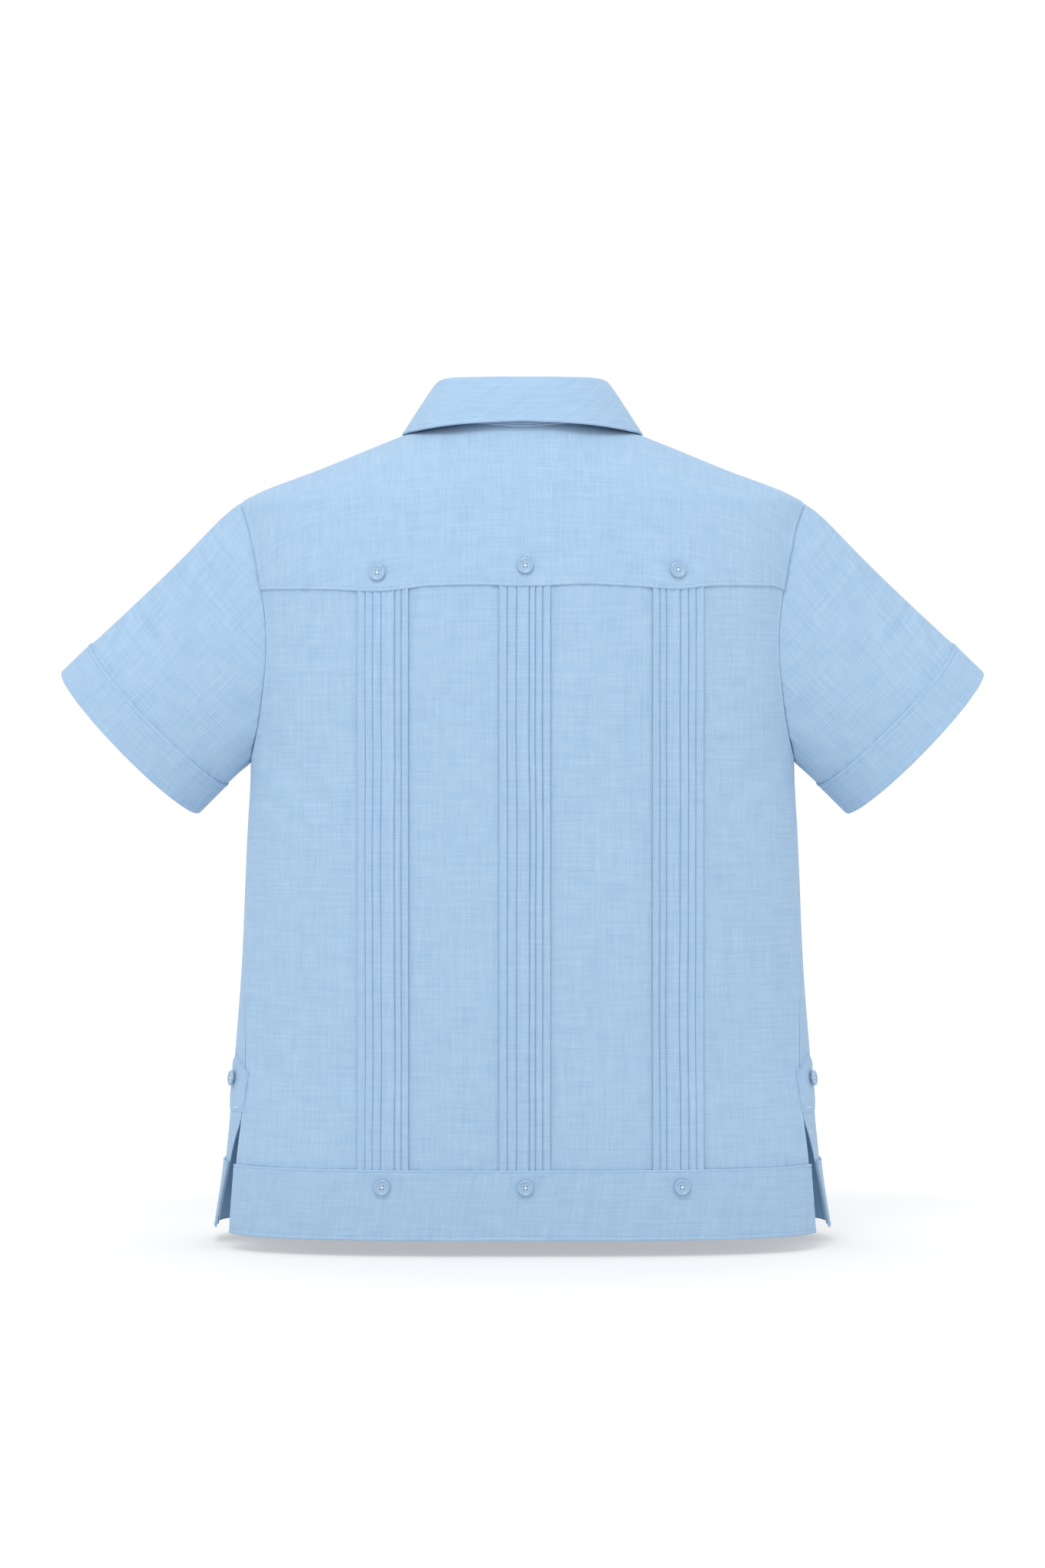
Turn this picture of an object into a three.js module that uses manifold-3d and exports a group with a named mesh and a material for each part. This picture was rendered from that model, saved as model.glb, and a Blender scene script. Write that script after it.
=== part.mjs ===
// A short-sleeved guayabera shirt, filled out as if worn, with nobody in it.
// Millimetres. The front faces -Y and +Z is up, so the wearer's left is +X. The origin is at the
// base of the neck, midway between the two shoulder points, where a wearer holds the shirt up.
import * as THREE from 'three';
import Module from 'manifold-3d';
import { mergeVertices } from 'three/addons/utils/BufferGeometryUtils.js';

const wasm = await Module();
wasm.setup();

// ---- cloth ----
const CLOTH = 1.2; // one panel
const SEAM = 0.3; // half of the gap between two panels that are sewn edge to edge
const LAY = 0.6; // what lies on a panel floats this far above it
const BAND = 1.3; // hem bands, placket and tabs, which are folded double
const COLLAR = 1.4; // collar stand and leaf

// ---- heights, measured up from the base of the neck ----
const HEM = -694;
const YOKE_SEAM = -130;
const HEM_BAND_TOP = -633;
const VENT_TOP = -590;
const PANEL_END = HEM + 3; // the panels stop inside the hem bands

// ---- armholes: an oval seen from the side, laid onto the body ----
const ARMHOLE = { z: -164.5, halfHeight: 115.5, halfDepth: 51 };
const FRONT_YOKE_ARM = 38.9; // where the front yoke seam meets the armhole, degrees round the oval
const UNDERARM = ARMHOLE.z - ARMHOLE.halfHeight;

// ---- neck: an oval seen from above ----
const NECK = { half: 76, back: 68, front: 66 };
const FRONT_YOKE_NECK = -38; // where the front yoke seam meets the neckline, degrees from the side

// ---- sleeves ----
const CUFF_SEAM = { x: 324.4, y: -12, z: -238, tall: 86.5, deep: 43 };
const CUFF_HEM = { x: 350.6, y: -19.5, z: -263, tall: 87, deep: 45 };
const SLEEVE_SLOPE = 46; // degrees that the sleeve opening leans from level
const SLEEVE_FULLNESS = { rise: 3.6, share: 0.13 }; // how far the cap stands up, and how far along

// ---- tuck bands, hem bands, placket, tabs and buttons ----
const TUCK_BAND = { width: 44, tucks: 4, base: 0.9, ridge: 1.9 };
const BACK_BANDS = [
  { name: 'tuck_band_back_left', x: 120.5 },
  { name: 'tuck_band_back_centre', x: -2 },
  { name: 'tuck_band_back_right', x: -134.5 },
];
const FRONT_BAND_X = 92;
const PLACKET = { half: 16, underlap: 13.5 };
const TAB = { width: 42, tip: -540, shoulder: -553, foot: -588, turn: 10, lift: 1.3 };
const BUTTON = { radius: 7, thick: 2.8, rim: 1.5, dish: 1.2, hole: 0.9, spacing: 1.9 };

// Sections of the body: half width, depth behind and in front of the side line, and the power
// that squares the oval. Flare and shift belong to the front skirt, which swings forward below
// the side vents.
const SECTIONS = [
  { z: 40, half: 52, back: 48, front: 34, power: 2.0, flare: 0, shift: 0 },
  { z: 21, half: 75, back: 62, front: 45, power: 2.0, flare: 0, shift: 0 },
  { z: 8.5, half: 107, back: 71, front: 52, power: 2.0, flare: 0, shift: 0 },
  { z: -3.5, half: 137, back: 77, front: 56, power: 2.0, flare: 0, shift: 0 },
  { z: -20, half: 177, back: 84, front: 60, power: 2.05, flare: 0, shift: 0 },
  { z: -44, half: 237, back: 92, front: 67, power: 2.1, flare: 0, shift: 0 },
  { z: -54, half: 250, back: 94, front: 72, power: 2.15, flare: 0, shift: 0 },
  { z: -90, half: 249, back: 101, front: 88, power: 2.3, flare: 0, shift: 0 },
  { z: -130, half: 246, back: 105, front: 98, power: 2.4, flare: 0, shift: 0 },
  { z: -200, half: 242, back: 106, front: 105, power: 2.4, flare: 0, shift: 0 },
  { z: -280, half: 241.3, back: 104, front: 105, power: 2.2, flare: 0, shift: 0 },
  { z: -352, half: 244.8, back: 102, front: 103, power: 2.15, flare: 0, shift: 0 },
  { z: -461, half: 249.6, back: 101, front: 101, power: 2.1, flare: 0, shift: 0 },
  { z: -542, half: 255.7, back: 102, front: 101, power: 2.2, flare: 0, shift: 0 },
  { z: -590, half: 259.5, back: 104, front: 100, power: 2.5, flare: 0, shift: 0 },
  { z: -633, half: 261.5, back: 105, front: 95, power: 2.9, flare: 2.5, shift: -12 },
  { z: -700, half: 262, back: 106, front: 86, power: 3.0, flare: 13, shift: -35 },
];

// The back and front edges at the side: degrees round the section, 0 at the side, 90 at the back.
const SIDE_EDGES = [
  { z: -280, back: 0.15, front: -0.15 },
  { z: -435, back: 9.2, front: 8.9 },
  { z: -590, back: 20.5, front: 20.2 },
  { z: -612, back: 20.3, front: 17.2 },
  { z: -635, back: 19.4, front: 14.1 },
  { z: -656, back: 17.9, front: 11.3 },
  { z: -700, back: 14.6, front: 8.8 },
];

// The collar's fold line and the leaf's outer edge. Turn is degrees round the neck: 90 at the
// middle of the back, 0 at the shoulder, -90 at the middle of the front.
const COLLAR_ROWS = [
  { turn: 90, foldHalf: 73, foldDeep: 60, foldZ: 54.5, edgeX: 0, edgeY: 78, edgeZ: 16 },
  { turn: 60, foldHalf: 73, foldDeep: 60, foldZ: 55.2, edgeX: 54, edgeY: 71, edgeZ: 14.5 },
  { turn: 30, foldHalf: 73, foldDeep: 60, foldZ: 56.5, edgeX: 92, edgeY: 44, edgeZ: 12.5 },
  { turn: 0, foldHalf: 73, foldDeep: 60, foldZ: 55.5, edgeX: 107, edgeY: 2, edgeZ: 13 },
  { turn: -30, foldHalf: 73, foldDeep: 58, foldZ: 41, edgeX: 107, edgeY: -43, edgeZ: -3 },
  { turn: -60, foldHalf: 73, foldDeep: 58, foldZ: 14, edgeX: 88, edgeY: -79, edgeZ: -46 },
  { turn: -84, foldHalf: 73, foldDeep: 58, foldZ: -6, edgeX: 62, edgeY: -93, edgeZ: -76 },
];

const COLOURS = {
  cloth: 0xa6cbe8,
  button: 0xb4c9d9,
};

const rad = THREE.MathUtils.degToRad;
const deg = THREE.MathUtils.radToDeg;
const BODY_CORE = new THREE.Vector3(0, 0, -250);

/** A smooth curve through one column of a table, with no overshoot, and level past its ends. */
function follow(rows, key, at, column) {
  const ends = [rows[0], rows[rows.length - 1]].sort((a, b) => a[key] - b[key]);
  const x = THREE.MathUtils.clamp(at, ends[0][key], ends[1][key]);
  const slope = (a, b) => (rows[b][column] - rows[a][column]) / (rows[b][key] - rows[a][key]);
  const tangent = (k) => {
    if (k === 0) return slope(0, 1);
    if (k === rows.length - 1) return slope(k - 1, k);
    const before = slope(k - 1, k);
    const after = slope(k, k + 1);
    return before * after > 0 ? (2 * before * after) / (before + after) : 0;
  };
  const k = rows.findIndex((row, n) => n > 0 && (rows[n - 1][key] - x) * (row[key] - x) <= 0) - 1;
  const width = rows[k + 1][key] - rows[k][key];
  const t = (x - rows[k][key]) / width;
  const rest = 1 - t;
  return (
    rows[k][column] * (1 + 2 * t) * rest * rest +
    tangent(k) * width * t * rest * rest +
    rows[k + 1][column] * t * t * (3 - 2 * t) -
    tangent(k + 1) * width * t * t * rest
  );
}

const spaced = (from, to, steps) =>
  Array.from({ length: steps + 1 }, (_, n) => from + ((to - from) * n) / steps);
const signedPower = (value, power) => Math.sign(value) * Math.abs(value) ** power;
const mix = THREE.MathUtils.lerp;
const bodySize = (z, column) => follow(SECTIONS, 'z', z, column);

/** A point of the body's outer face. Turn 0 is the wearer's left side, 90 the middle of the back. */
function onBody(turn, z, skirt = false) {
  const power = 2 / bodySize(z, 'power');
  const half = bodySize(z, 'half') + (skirt ? bodySize(z, 'flare') : 0);
  const sine = Math.sin(rad(turn));
  const depth = bodySize(z, sine > 0 ? 'back' : 'front');
  const x = half * signedPower(Math.cos(rad(turn)), power);
  const y = depth * signedPower(sine, power) + (skirt ? bodySize(z, 'shift') : 0);
  return new THREE.Vector3(x, y, z);
}

/** A place on a surface f(u, v): its point, and its normal facing away from the core. */
function spotOn(f, u, v, core, step = 0.05) {
  const point = f(u, v);
  const along = f(u + step, v).sub(f(u - step, v));
  const across = f(u, v + step).sub(f(u, v - step));
  const normal = along.cross(across).normalize();
  if (normal.dot(point.clone().sub(core)) < 0) normal.negate();
  return { point, normal };
}

const bodySpot = (turn, z, skirt = false) =>
  spotOn((a, b) => onBody(a, b, skirt), turn, z, BODY_CORE);

/** The turn of the place at x on the back or the front at height z. */
function turnAt(x, z, front = false) {
  const share = Math.min(Math.abs(x) / bodySize(z, 'half'), 1);
  const turn = deg(Math.acos(share ** (bodySize(z, 'power') / 2))) * (front ? -1 : 1);
  return x >= 0 ? turn : (front ? -180 : 180) - turn;
}

/** The turn of the place at depth y on the left side at height z. */
function turnAtDepth(y, z) {
  const share = Math.abs(y) / bodySize(z, y > 0 ? 'back' : 'front');
  return Math.sign(y) * deg(Math.asin(share ** (bodySize(z, 'power') / 2)));
}

/** The height and turn of the body's place straight above (x, y) in plan. */
function bodyAbove(x, y) {
  let low = ARMHOLE.z;
  let high = SECTIONS[0].z;
  const column = y > 0 ? 'back' : 'front';
  for (let n = 0; n < 40; n += 1) {
    const z = (low + high) / 2;
    const power = bodySize(z, 'power');
    const reach = (Math.abs(x) / bodySize(z, 'half')) ** power
      + (Math.abs(y) / bodySize(z, column)) ** power;
    if (reach > 1) high = z;
    else low = z;
  }
  const turn = turnAtDepth(y, low);
  return { turn: x >= 0 ? turn : Math.sign(y) * 180 - turn, z: low };
}

/** The neckline, as a turn round the neck's own oval: 90 back, 0 shoulder, -90 front. */
function neckline(turn) {
  const sine = Math.sin(rad(turn));
  const x = NECK.half * Math.cos(rad(turn));
  return bodyAbove(x, sine * (sine > 0 ? NECK.back : NECK.front));
}

/** The armhole's height and body turn. Round is 90 at the top, 0 behind, 180 in front. */
function armhole(round) {
  const z = ARMHOLE.z + ARMHOLE.halfHeight * Math.sin(rad(round));
  const y = ARMHOLE.halfDepth * Math.cos(rad(round));
  return { turn: Math.abs(y) < 1e-6 ? 0 : turnAtDepth(y, z), z };
}

// ---- sleeve form ----
const openingUp = new THREE.Vector3(Math.cos(rad(SLEEVE_SLOPE)), 0, Math.sin(rad(SLEEVE_SLOPE)));
const sleeveAlong = new THREE.Vector3(
  CUFF_HEM.x - CUFF_SEAM.x,
  CUFF_HEM.y - CUFF_SEAM.y,
  CUFF_HEM.z - CUFF_SEAM.z,
).normalize();
const openingBack = openingUp.clone().cross(sleeveAlong).normalize();
if (openingBack.y < 0) openingBack.negate();

function openingPoint(opening, round) {
  return new THREE.Vector3(opening.x, opening.y, opening.z)
    .addScaledVector(openingUp, opening.tall * Math.sin(rad(round)))
    .addScaledVector(openingBack, opening.deep * Math.cos(rad(round)));
}

function armholePoint(round) {
  const place = armhole(round);
  return onBody(place.turn, place.z);
}

/** The left sleeve: round the armhole, and from 0 at the armhole to 1 at the cuff seam. */
function onSleeve(round, along) {
  const start = armholePoint(round);
  const end = openingPoint(CUFF_SEAM, round);
  const point = start.lerp(end, along);
  const reach = Math.max(along, 0) / SLEEVE_FULLNESS.share;
  const fullness = SLEEVE_FULLNESS.rise * reach * Math.exp(1 - reach);
  return point.addScaledVector(openingUp, fullness * Math.max(Math.sin(rad(round)), 0));
}

const SLEEVE_CORE = new THREE.Vector3(290, -5, -205);

/** The way that the walls of body and sleeve both end at the armhole, as a mitre. */
function armholeMitre(round) {
  const place = armhole(round);
  const turn = place.turn + (Math.abs(place.turn) < 0.3 ? 0.3 : 0);
  const body = bodySpot(turn, place.z).normal;
  const sleeve = spotOn(onSleeve, round, 0.02, SLEEVE_CORE, 0.01).normal;
  const mitre = body.clone().add(sleeve).normalize();
  return mitre.divideScalar(Math.max(mitre.dot(body), 0.4));
}

// ---- solids ----

/** A closed wall between two offsets of a grid of spots; `to` may be a function of row, column. */
function wall(spots, { from = -CLOTH, to = 0, wrap = false } = {}) {
  const rows = spots.length;
  const columns = spots[0].length;
  const height = (offset, i, j) => (typeof offset === 'function' ? offset(i, j) : offset);
  const positions = [];
  for (const offset of [to, from]) {
    spots.forEach((row, i) => {
      row.forEach(({ point, normal }, j) => {
        const place = point.clone().addScaledVector(normal, height(offset, i, j));
        positions.push(place.x, place.y, place.z);
      });
    });
  }
  const outer = (i, j) => i * columns + (j % columns);
  const inner = (i, j) => rows * columns + outer(i, j);
  const faces = [];
  const quad = (a, b, c, d) => faces.push(a, b, c, a, c, d);
  const last = wrap ? columns : columns - 1;
  for (let i = 0; i < rows - 1; i += 1) {
    for (let j = 0; j < last; j += 1) {
      quad(outer(i, j), outer(i, j + 1), outer(i + 1, j + 1), outer(i + 1, j));
      quad(inner(i, j), inner(i + 1, j), inner(i + 1, j + 1), inner(i, j + 1));
    }
  }
  for (let j = 0; j < last; j += 1) {
    quad(outer(0, j), inner(0, j), inner(0, j + 1), outer(0, j + 1));
    quad(outer(rows - 1, j + 1), inner(rows - 1, j + 1), inner(rows - 1, j), outer(rows - 1, j));
  }
  if (!wrap) {
    for (let i = 0; i < rows - 1; i += 1) {
      quad(outer(i + 1, 0), inner(i + 1, 0), inner(i, 0), outer(i, 0));
      quad(outer(i, last), inner(i, last), inner(i + 1, last), outer(i + 1, last));
    }
  }
  return facingOut(positions, faces);
}

/** The geometry of a closed mesh, turned so that its faces point out. */
function facingOut(positions, faces) {
  const corner = (n) => new THREE.Vector3().fromArray(positions, faces[n] * 3);
  let volume = 0;
  for (let n = 0; n < faces.length; n += 3) {
    volume += corner(n).dot(corner(n + 1).cross(corner(n + 2)));
  }
  const geometry = new THREE.BufferGeometry();
  geometry.setAttribute('position', new THREE.Float32BufferAttribute(positions, 3));
  geometry.setIndex(volume < 0 ? faces.slice().reverse() : faces);
  return geometry;
}

/** The same geometry on the wearer's other side. */
function mirrored(geometry) {
  const positions = Array.from(geometry.getAttribute('position').array);
  for (let n = 0; n < positions.length; n += 3) positions[n] *= -1;
  return facingOut(positions, Array.from(geometry.index.array));
}

const shirt = new THREE.Group();

function add(name, geometry, colour, roughness) {
  const material = new THREE.MeshStandardMaterial({ color: colour, roughness, metalness: 0 });
  if (!geometry.getAttribute('normal')) geometry.computeVertexNormals();
  const mesh = new THREE.Mesh(geometry, material);
  mesh.name = name;
  shirt.add(mesh);
  return mesh;
}

const addCloth = (name, geometry) => add(name, geometry, COLOURS.cloth, 0.9);

// ---- back panel ----

const YOKE_BACK_ARM = deg(Math.asin((YOKE_SEAM - ARMHOLE.z) / ARMHOLE.halfHeight));
const ARM_BACK = spaced(YOKE_BACK_ARM, -90, 7);
const ARM_FRONT = spaced(FRONT_YOKE_ARM, -90, 8);
const ARM_YOKE_BACK = spaced(90, YOKE_BACK_ARM, 4);
const ARM_YOKE_FRONT = spaced(FRONT_YOKE_ARM, 90, 3);
const SIDE_HEIGHTS = [-330, -395, -460, -525, VENT_TOP];
const VENT_HEIGHTS = [-612, HEM_BAND_TOP, -660, PANEL_END];
const BACK_COLUMNS = 18;
const sideTurn = (z, column) => follow(SIDE_EDGES, 'z', z, column);

/** A row of back spots between the two side edges at one height. */
function backRow(z, edge, top = z) {
  return spaced(edge, 180 - edge, BACK_COLUMNS).map((turn) => bodySpot(turn, top));
}

function backPanel() {
  const rows = ARM_BACK.map((round, n) => {
    const place = armhole(round);
    const edge = Math.max(place.turn, sideTurn(UNDERARM, 'back'));
    const row = backRow(place.z, edge, n === 0 ? YOKE_SEAM - SEAM : place.z);
    const mitre = armholeMitre(round);
    row[0].normal = mitre;
    row[row.length - 1].normal = new THREE.Vector3(-mitre.x, mitre.y, mitre.z);
    return row;
  });
  for (const z of [...SIDE_HEIGHTS, ...VENT_HEIGHTS]) rows.push(backRow(z, sideTurn(z, 'back')));
  return wall(rows);
}

// ---- yoke ----

const YOKE_ROWS = 8;
const YOKE_BACK_COLUMNS = 6;

/** The yoke's outer edge from its front seam, over the shoulder, to the middle of the back. */
function yokeEdge() {
  const front = ARM_YOKE_FRONT.slice(0, -1).map((round) => ({ arm: 180 - round }));
  const back = ARM_YOKE_BACK.map((round) => ({ arm: round }));
  const corner = armhole(YOKE_BACK_ARM).turn;
  const seam = spaced(corner, 90, YOKE_BACK_COLUMNS).slice(1).map((turn) => ({ turn }));
  return [...front, ...back, ...seam];
}

function yokeHalf() {
  const edge = yokeEdge();
  const necks = [
    ...spaced(FRONT_YOKE_NECK, 0, ARM_YOKE_FRONT.length - 1).slice(0, -1),
    ...spaced(0, 26, ARM_YOKE_BACK.length - 1),
    ...spaced(26, 90, YOKE_BACK_COLUMNS).slice(1),
  ];
  return edge.map((end, n) => {
    const start = neckline(necks[n]);
    const finish = end.arm === undefined
      ? { turn: end.turn, z: YOKE_SEAM + SEAM }
      : armhole(end.arm);
    const column = spaced(0, 1, YOKE_ROWS).map((share) => {
      const turn = mix(start.turn, finish.turn, share);
      const z = mix(start.z, finish.z, share);
      return bodySpot(turn, z);
    });
    if (end.arm !== undefined) column[YOKE_ROWS].normal = armholeMitre(end.arm);
    return column;
  });
}

/** The mirror image of a spot. */
const flip = ({ point, normal }) => ({
  point: new THREE.Vector3(-point.x, point.y, point.z),
  normal: new THREE.Vector3(-normal.x, normal.y, normal.z),
});

function yoke() {
  const left = yokeHalf();
  const right = left.slice(0, -1).reverse().map((column) => column.map(flip));
  return wall([...left, ...right]);
}

// ---- fronts ----

const FRONT_COLUMNS = 12;
const NECK_STEPS = 3;
const FRONT_NECK_Z = neckline(-90).z;
const FRONT_SEAM = 1.9; // gap at the front yoke seam, which runs over the round of the shoulder

/** The left front's two edges, row by row, from the yoke seam down. */
function frontEdges(centreX) {
  const centre = (z) => ({ turn: turnAt(centreX, z, true), z });
  const neckEnd = -deg(Math.acos(centreX / NECK.half));
  const necks = spaced(FRONT_YOKE_NECK, neckEnd, NECK_STEPS).map(neckline);
  const steps = ARM_FRONT.length - 1 - NECK_STEPS;
  const below = spaced(necks[NECK_STEPS].z, UNDERARM, steps).slice(1).map(centre);
  const inner = [...necks, ...below];
  const outer = ARM_FRONT.map((round) => {
    const place = armhole(180 - round);
    return { turn: Math.min(place.turn, sideTurn(UNDERARM, 'front')), z: place.z, round };
  });
  for (const z of [...SIDE_HEIGHTS, ...VENT_HEIGHTS]) {
    inner.push(centre(z));
    outer.push({ turn: sideTurn(z, 'front'), z });
  }
  return inner.map((start, n) => ({ start, end: outer[n] }));
}

/** A place part of the way from one (turn, z) to another. */
const between = (from, to, share) => ({
  turn: mix(from.turn, to.turn, share),
  z: mix(from.z, to.z, share),
});

function frontPanel(centreX) {
  const edges = frontEdges(centreX);
  const rows = edges.map(({ start, end }, n) => {
    const next = edges[Math.min(n + 1, edges.length - 1)];
    const row = spaced(0, 1, FRONT_COLUMNS).map((share) => {
      const place = between(start, end, share);
      if (n > 0) return bodySpot(place.turn, place.z, true);
      const below = between(next.start, next.end, share);
      const depth = onBody(place.turn, place.z).distanceTo(onBody(below.turn, below.z));
      const clear = between(place, below, FRONT_SEAM / depth);
      return bodySpot(clear.turn, clear.z, true);
    });
    if (end.round !== undefined) row[FRONT_COLUMNS].normal = armholeMitre(180 - end.round);
    return row;
  });
  return wall(rows);
}

// ---- sleeves and cuffs ----

const AROUND_ARM = [
  ...ARM_YOKE_BACK.slice(0, -1),
  ...ARM_BACK.slice(0, -1),
  ...ARM_FRONT.slice(1).reverse().map((round) => 180 - round),
  ...ARM_YOKE_FRONT.slice(0, -1).map((round) => 180 - round),
];
const SLEEVE_SHARES = [0, 0.07, 0.15, 0.3, 0.6, 1];

function sleeve() {
  const rows = SLEEVE_SHARES.map((share) => AROUND_ARM.map((round) => {
    const length = armholePoint(round).distanceTo(openingPoint(CUFF_SEAM, round));
    const gap = (2 * SEAM) / length;
    const along = share === 0 ? gap : share;
    const spot = spotOn(onSleeve, round, along, SLEEVE_CORE, 0.01);
    if (share === 0) spot.normal = armholeMitre(round);
    return spot;
  }));
  return wall(rows, { wrap: true });
}

function cuff() {
  const place = (round, share) => openingPoint(CUFF_SEAM, round)
    .lerp(openingPoint(CUFF_HEM, round), share);
  const core = new THREE.Vector3(CUFF_HEM.x, CUFF_HEM.y, CUFF_HEM.z)
    .lerp(new THREE.Vector3(CUFF_SEAM.x, CUFF_SEAM.y, CUFF_SEAM.z), 0.5);
  const rows = [0.02, 1].map((share) =>
    AROUND_ARM.map((round) => spotOn(place, round, share, core, 0.01)));
  return wall(rows, { from: -0.7, to: BAND - 0.5, wrap: true });
}

// ---- strips that lie on the body ----

/** The height of a tuck band's outer face across its width, 0 to 1: a row of standing tucks. */
function tuckProfile(column) {
  const ridge = column % 2 === 1 ? TUCK_BAND.ridge : TUCK_BAND.base;
  return LAY + ridge;
}

/** A vertical band of tucks centred on x, through a list of heights. */
function tuckBand(x, heights, front) {
  const across = spaced(x - TUCK_BAND.width / 2, x + TUCK_BAND.width / 2, TUCK_BAND.tucks * 2);
  const rows = heights.map((z) => across.map((place) =>
    bodySpot(turnAt(place, z, front), z, front)));
  const from = LAY + (front ? 0.4 : 0);
  return wall(rows, { from, to: (i, j) => tuckProfile(j) });
}

const BAND_HEIGHTS_BACK = [
  YOKE_SEAM - 3 * SEAM,
  ...ARM_BACK.filter((round, n) => n % 2 === 1).map((round) => armhole(round).z),
  ...SIDE_HEIGHTS,
  HEM_BAND_TOP + 2 * SEAM,
];

/** The heights of a front band, which starts below the front yoke seam. */
function frontBandHeights(x) {
  const { start, end } = frontEdges(PLACKET.underlap)[0];
  const seam = spaced(0, 1, 40)
    .map((share) => onBody(mix(start.turn, end.turn, share), mix(start.z, end.z, share)))
    .filter((point) => point.x < x + TUCK_BAND.width / 2)
    .pop();
  const top = seam.z - 8;
  return [...spaced(top, UNDERARM, 8), ...SIDE_HEIGHTS, HEM_BAND_TOP + 2 * SEAM];
}

/** A hem band between two turns, on the back or on the left front. */
function hemBand(turnsAt, columns, skirt) {
  const heights = [HEM_BAND_TOP, -660, HEM];
  const rows = heights.map((z) => {
    const [from, to] = turnsAt(z);
    return spaced(from, to, columns).map((turn) => bodySpot(turn, z, skirt));
  });
  return wall(rows, { from: LAY, to: LAY + BAND });
}

const HEM_OVERHANG = 0.4; // degrees that a hem band runs past the panel's side edge

function backHemBand() {
  const turns = (z) => {
    const edge = sideTurn(z, 'back') - HEM_OVERHANG;
    return [edge, 180 - edge];
  };
  return hemBand(turns, BACK_COLUMNS, false);
}

function frontHemBand() {
  const turns = (z) => [
    turnAt(PLACKET.half + 1.5, z, true),
    sideTurn(z, 'front') + HEM_OVERHANG,
  ];
  return hemBand(turns, FRONT_COLUMNS, true);
}

function placket() {
  const steps = ARM_FRONT.length - 1 - NECK_STEPS;
  const chest = spaced(FRONT_NECK_Z, UNDERARM, steps).slice(1);
  const heights = [FRONT_NECK_Z - 5, ...chest, ...SIDE_HEIGHTS, ...VENT_HEIGHTS];
  const rows = heights.map((z) => spaced(-PLACKET.half, PLACKET.half, 2).map((x) =>
    bodySpot(turnAt(x, z, true), z, true)));
  return wall(rows, { from: LAY + 0.3, to: LAY + 0.3 + BAND });
}

/** A pointed tab over the top of a side vent, across the side seam. */
function sideTab() {
  const rows = [
    { z: TAB.tip, share: 0.08 },
    { z: TAB.shoulder, share: 1 },
    { z: -570, share: 1 },
    { z: TAB.foot, share: 1 },
  ];
  const turnPerMm = 0.55;
  const spots = rows.map(({ z, share }) => {
    const reach = (TAB.width / 2) * turnPerMm * share;
    return spaced(TAB.turn - reach, TAB.turn + reach, 6).map((turn) => bodySpot(turn, z));
  });
  return wall(spots, { from: LAY + TAB.lift, to: LAY + TAB.lift + BAND });
}

// ---- collar ----

const collarSize = (turn, column) => follow(COLLAR_ROWS, 'turn', turn, column);
const NECK_CORE = new THREE.Vector3(0, 0, 10);

/** The fold line at the top of the collar, on the left half. */
function foldPoint(turn, out = 0) {
  const half = collarSize(turn, 'foldHalf') + out;
  const deep = collarSize(turn, 'foldDeep') + out;
  return new THREE.Vector3(
    half * Math.cos(rad(turn)),
    deep * Math.sin(rad(turn)),
    collarSize(turn, 'foldZ'),
  );
}

/** The stand, from just inside the neckline (0) to the fold (1), on the left half. */
function onStand(turn, share) {
  const place = neckline(turn);
  const base = onBody(place.turn, place.z);
  base.x *= 0.965;
  base.y *= 0.965;
  base.z += 2;
  return base.lerp(foldPoint(turn), share);
}

function stand() {
  const turns = spaced(-86, 90, 11);
  const left = turns.map((turn) => [0, 1].map((share) =>
    spotOn(onStand, turn, share, NECK_CORE, 0.02)));
  const right = left.slice(0, -1).reverse().map((column) => column.map(flip));
  return wall([...left, ...right], { from: -COLLAR, to: 0 });
}

/** The leaf, from over the top of the stand (0) to its outer edge (1), on the left half. */
function onLeaf(turn, share) {
  const fold = foldPoint(turn, 1.9);
  fold.z += 1.6;
  const edge = new THREE.Vector3(
    collarSize(turn, 'edgeX'),
    collarSize(turn, 'edgeY'),
    collarSize(turn, 'edgeZ'),
  );
  const roll = 2.6 * Math.sin(Math.PI * THREE.MathUtils.clamp(share, 0, 1) ** 0.6);
  const out = new THREE.Vector3(Math.cos(rad(turn)), Math.sin(rad(turn)), 0);
  return fold.lerp(edge, share).addScaledVector(out, roll);
}

function leaf() {
  const turns = spaced(-84, 90, 12);
  const left = turns.map((turn) => [0, 0.12, 0.35, 0.7, 1].map((share) =>
    spotOn(onLeaf, turn, share, NECK_CORE, 0.02)));
  const right = left.slice(0, -1).reverse().map((column) => column.map(flip));
  return wall([...left, ...right], { from: -COLLAR, to: 0 });
}

// ---- buttons ----

const toSolid = (geometry) => {
  const plain = geometry.clone();
  plain.deleteAttribute('normal');
  plain.deleteAttribute('uv');
  const merged = mergeVertices(plain, 1e-4);
  return new wasm.Manifold(new wasm.Mesh({
    numProp: 3,
    vertProperties: merged.getAttribute('position').array,
    triVerts: Uint32Array.from(merged.index.array),
  }));
};

const fromSolid = (solid) => {
  const mesh = solid.getMesh();
  const geometry = new THREE.BufferGeometry();
  const positions = mesh.vertProperties;
  geometry.setAttribute('position', new THREE.Float32BufferAttribute(positions, 3));
  geometry.setIndex(Array.from(mesh.triVerts));
  return geometry;
};

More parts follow.
